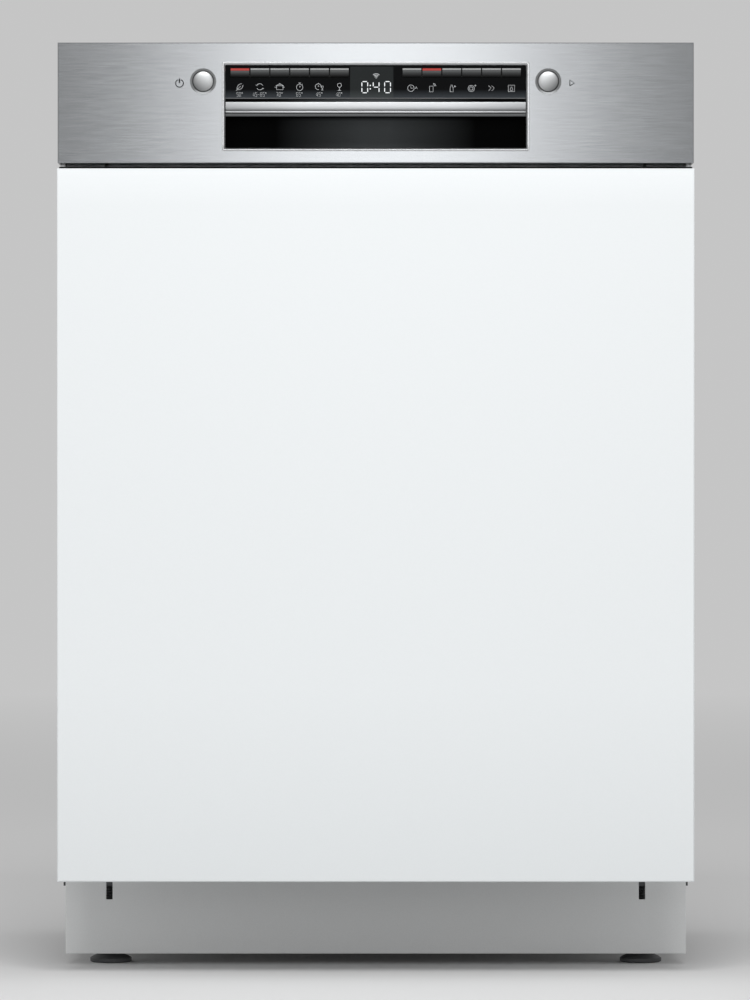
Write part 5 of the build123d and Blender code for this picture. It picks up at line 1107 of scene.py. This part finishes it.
CAP_HEIGHT = 9 * MM
CAP_STEPS = 144
SCALLOPS = 24
SCALLOP = 0.7 * MM
GRIP_LENGTH = 48 * MM
GRIP_WIDTH = 10 * MM
GRIP_CORNER = 4 * MM
GRIP_TURN = 8
cap_low, cap_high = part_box("salt_cap")
cap_x, cap_y = (cap_low.x + cap_high.x) / 2, (cap_low.y + cap_high.y) / 2
cap_radius = (cap_high.x - cap_low.x) / 2
scallop = []
for k in range(CAP_STEPS):
    t = 2 * pi * k / CAP_STEPS
    r = cap_radius - SCALLOP + SCALLOP * cos(SCALLOPS * t)
    scallop.append((cap_x + r * cos(t), cap_y + r * sin(t)))
crown_z = cap_low.z + 0.7 * CAP_HEIGHT
skirt = prism("salt_cap_skirt", [scallop], cap_low.z, crown_z, "z", "salt_cap", *BLUE, 60)
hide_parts("salt_cap")
crown = [(cap_radius - 1.6 * MM, 0.0), (cap_radius - 1.8 * MM, 0.2 * CAP_HEIGHT)]
crown += [(cap_radius - 3.5 * MM, 0.3 * CAP_HEIGHT), (0.2 * cap_radius, 0.3 * CAP_HEIGHT)]
lathe("salt_cap_crown", crown, [(cap_x, cap_y, crown_z)], UP, "salt_cap", *BLUE, 72)
ends = rectangle(-GRIP_LENGTH / 2, -GRIP_WIDTH / 2, GRIP_LENGTH / 2, GRIP_WIDTH / 2)
turn = Matrix.Rotation(radians(GRIP_TURN), 2)
grip = [turn @ p.to_2d() for p in rounded([(*end, 0) for end in ends], GRIP_CORNER, closed=True)]
grip_top = cap_high.z - cap_low.z
layers = []
steps = [(1.0, 0.9 * CAP_HEIGHT), (1.0, grip_top - 1.2 * MM), (0.9, grip_top - 0.3 * MM), (0.8, grip_top)]
for share, z in steps:
    layers.append([(cap_x + p.x * share, cap_y + p.y * share, cap_low.z + z) for p in grip])
mesh_piece("salt_cap_grip", [skin(layers)], "salt_cap", *BLUE)

# Feet: round pads, threaded stems and a hexagon for the spanner

STEM = 8 * MM
STEM_SHARP = 50
PITCH = 2.5 * MM
PAD_HEIGHT = 8 * MM
FLAT = 5.5 * MM
FLAT_RADIUS = 11 * MM
for foot in ("front_left_foot", "front_right_foot", "rear_foot"):
    low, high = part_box(foot)
    x, y = (low.x + high.x) / 2, (low.y + high.y) / 2
    pad, tall = (high.x - low.x) / 2, high.z - low.z
    profile = [(0.92, 0.0), (1.0, 1.0 * MM), (1.0, 0.5 * PAD_HEIGHT), (0.85, 0.75 * PAD_HEIGHT)]
    profile = profile_of(pad, profile + [(0.6, PAD_HEIGHT)])
    z = PAD_HEIGHT + FLAT + 2 * MM
    thread = [(0.85, PAD_HEIGHT + 0.5 * MM), (0.85, z - 0.5 * MM)]
    while z < tall - PITCH:
        thread += [(1.0, z), (1.0, z + 0.25 * PITCH), (0.88, z + 0.5 * PITCH), (0.88, z + 0.75 * PITCH)]
        z += PITCH
    profile += profile_of(STEM, thread + [(1.0, tall - 1 * MM), (0.8, tall)])
    stem = lathe(foot + "_stem", profile, [(x, y, low.z)], UP, foot, *BASE, 28, STEM_SHARP)
    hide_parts(foot)
    flat_z = low.z + PAD_HEIGHT
    prism(foot + "_flat", [hexagon(x, y, FLAT_RADIUS)], flat_z, flat_z + FLAT, "z", foot, *BASE)

# Door balance springs: close coils with straight ends

COIL_WIRE = 0.9 * MM
COIL_TURNS = 52
COIL_STEPS = 10
COIL_END = 9 * MM
COIL_LEAD = 1 * MM
spring_low, spring_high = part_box("door_springs")
coil_z = (spring_low.z + spring_high.z) / 2
coil = (spring_high.z - spring_low.z) / 2 - COIL_WIRE
start, end = spring_low.y + COIL_END, spring_high.y - COIL_END
coils = []
for side in (-1, 1):
    x = side * (spring_high.x - coil - COIL_WIRE)
    route = [(x, spring_low.y + COIL_WIRE, coil_z), (x, start - COIL_LEAD, coil_z)]
    for k in range(COIL_TURNS * COIL_STEPS + 1):
        t = 2 * pi * k / COIL_STEPS
        share = k / (COIL_TURNS * COIL_STEPS)
        route.append((x + coil * sin(t), start + (end - start) * share, coil_z + coil * cos(t)))
    route += [(x, end + COIL_LEAD, coil_z), (x, spring_high.y - COIL_WIRE, coil_z)]
    coils.append(route)
springs = wires("spring_coils", coils, COIL_WIRE, "cabinet", spring_steel, "zinc_steel", sides=1)
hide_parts("door_springs")

# Rear connections: threaded inlet, ribbed drain spigot and mains gland

WALL = 3 * MM
BORE_DEPTH = 6 * MM
INLET_X, INLET = -149.5 * MM, 13.2 * MM
INLET_PITCH = 2.2 * MM
INLET_THREADS = 6
DRAIN_X, DRAIN = 74.75 * MM, 9.5 * MM
DRAIN_PITCH = 4.0 * MM
DRAIN_RIBS = 4
GLAND_X, GLAND = 199.3 * MM, 13 * MM
joint_low, joint_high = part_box("rear_connections")
joint_z = (joint_low.z + joint_high.z) / 2
reach = joint_high.y - joint_low.y


def connection(name, x, radius, pairs, material, segments=32):
    """Turned connection that stands out from the rear."""
    at = (x, joint_low.y, joint_z)
    profile = profile_of(radius, pairs)
    return lathe(name, profile, [at], REARWARD, "cabinet", material, "base_plastic", segments)


pairs = [(1.0, 0.0), (1.0, WALL)]
for k in range(INLET_THREADS):
    y = WALL + INLET_PITCH * k
    pairs += [(1.0, y + 1.0 * MM), (0.92, y + 1.6 * MM), (0.92, y + 2.0 * MM), (1.0, y + 2.6 * MM)]
pairs += [(0.95, reach), (0.7, reach), (0.66, reach - BORE_DEPTH)]
water_inlet = connection("water_inlet", INLET_X, INLET, pairs, dark_moulding, 36)
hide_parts("rear_connections")
pairs = [(0.86, 0.0)]
for k in range(DRAIN_RIBS):
    y = WALL + DRAIN_PITCH * k
    pairs += [(0.86, y), (1.0, y + 0.6 * MM), (0.86, y + 3.6 * MM)]
pairs += [(0.8, reach), (0.6, reach), (0.56, reach - BORE_DEPTH)]
connection("drain_spigot", DRAIN_X, DRAIN, pairs, dark_moulding)
pairs = [(0.85, 0.45 * reach), (0.85, 0.8 * reach), (0.6, reach), (0.35, reach), (0.3, 0.7 * reach)]
connection("mains_gland", GLAND_X, GLAND, pairs, base_moulding)
nuts = [("inlet", INLET_X, INLET + 2 * WALL, WALL), ("drain", DRAIN_X, DRAIN + 2 * WALL, WALL)]
for label, x, radius, deep in nuts + [("gland", GLAND_X, GLAND, 0.5 * reach)]:
    nut = hexagon(x, joint_z, radius)
    prism(label + "_hexagon", [nut], joint_low.y + deep, joint_low.y, "y", "cabinet", *BASE)
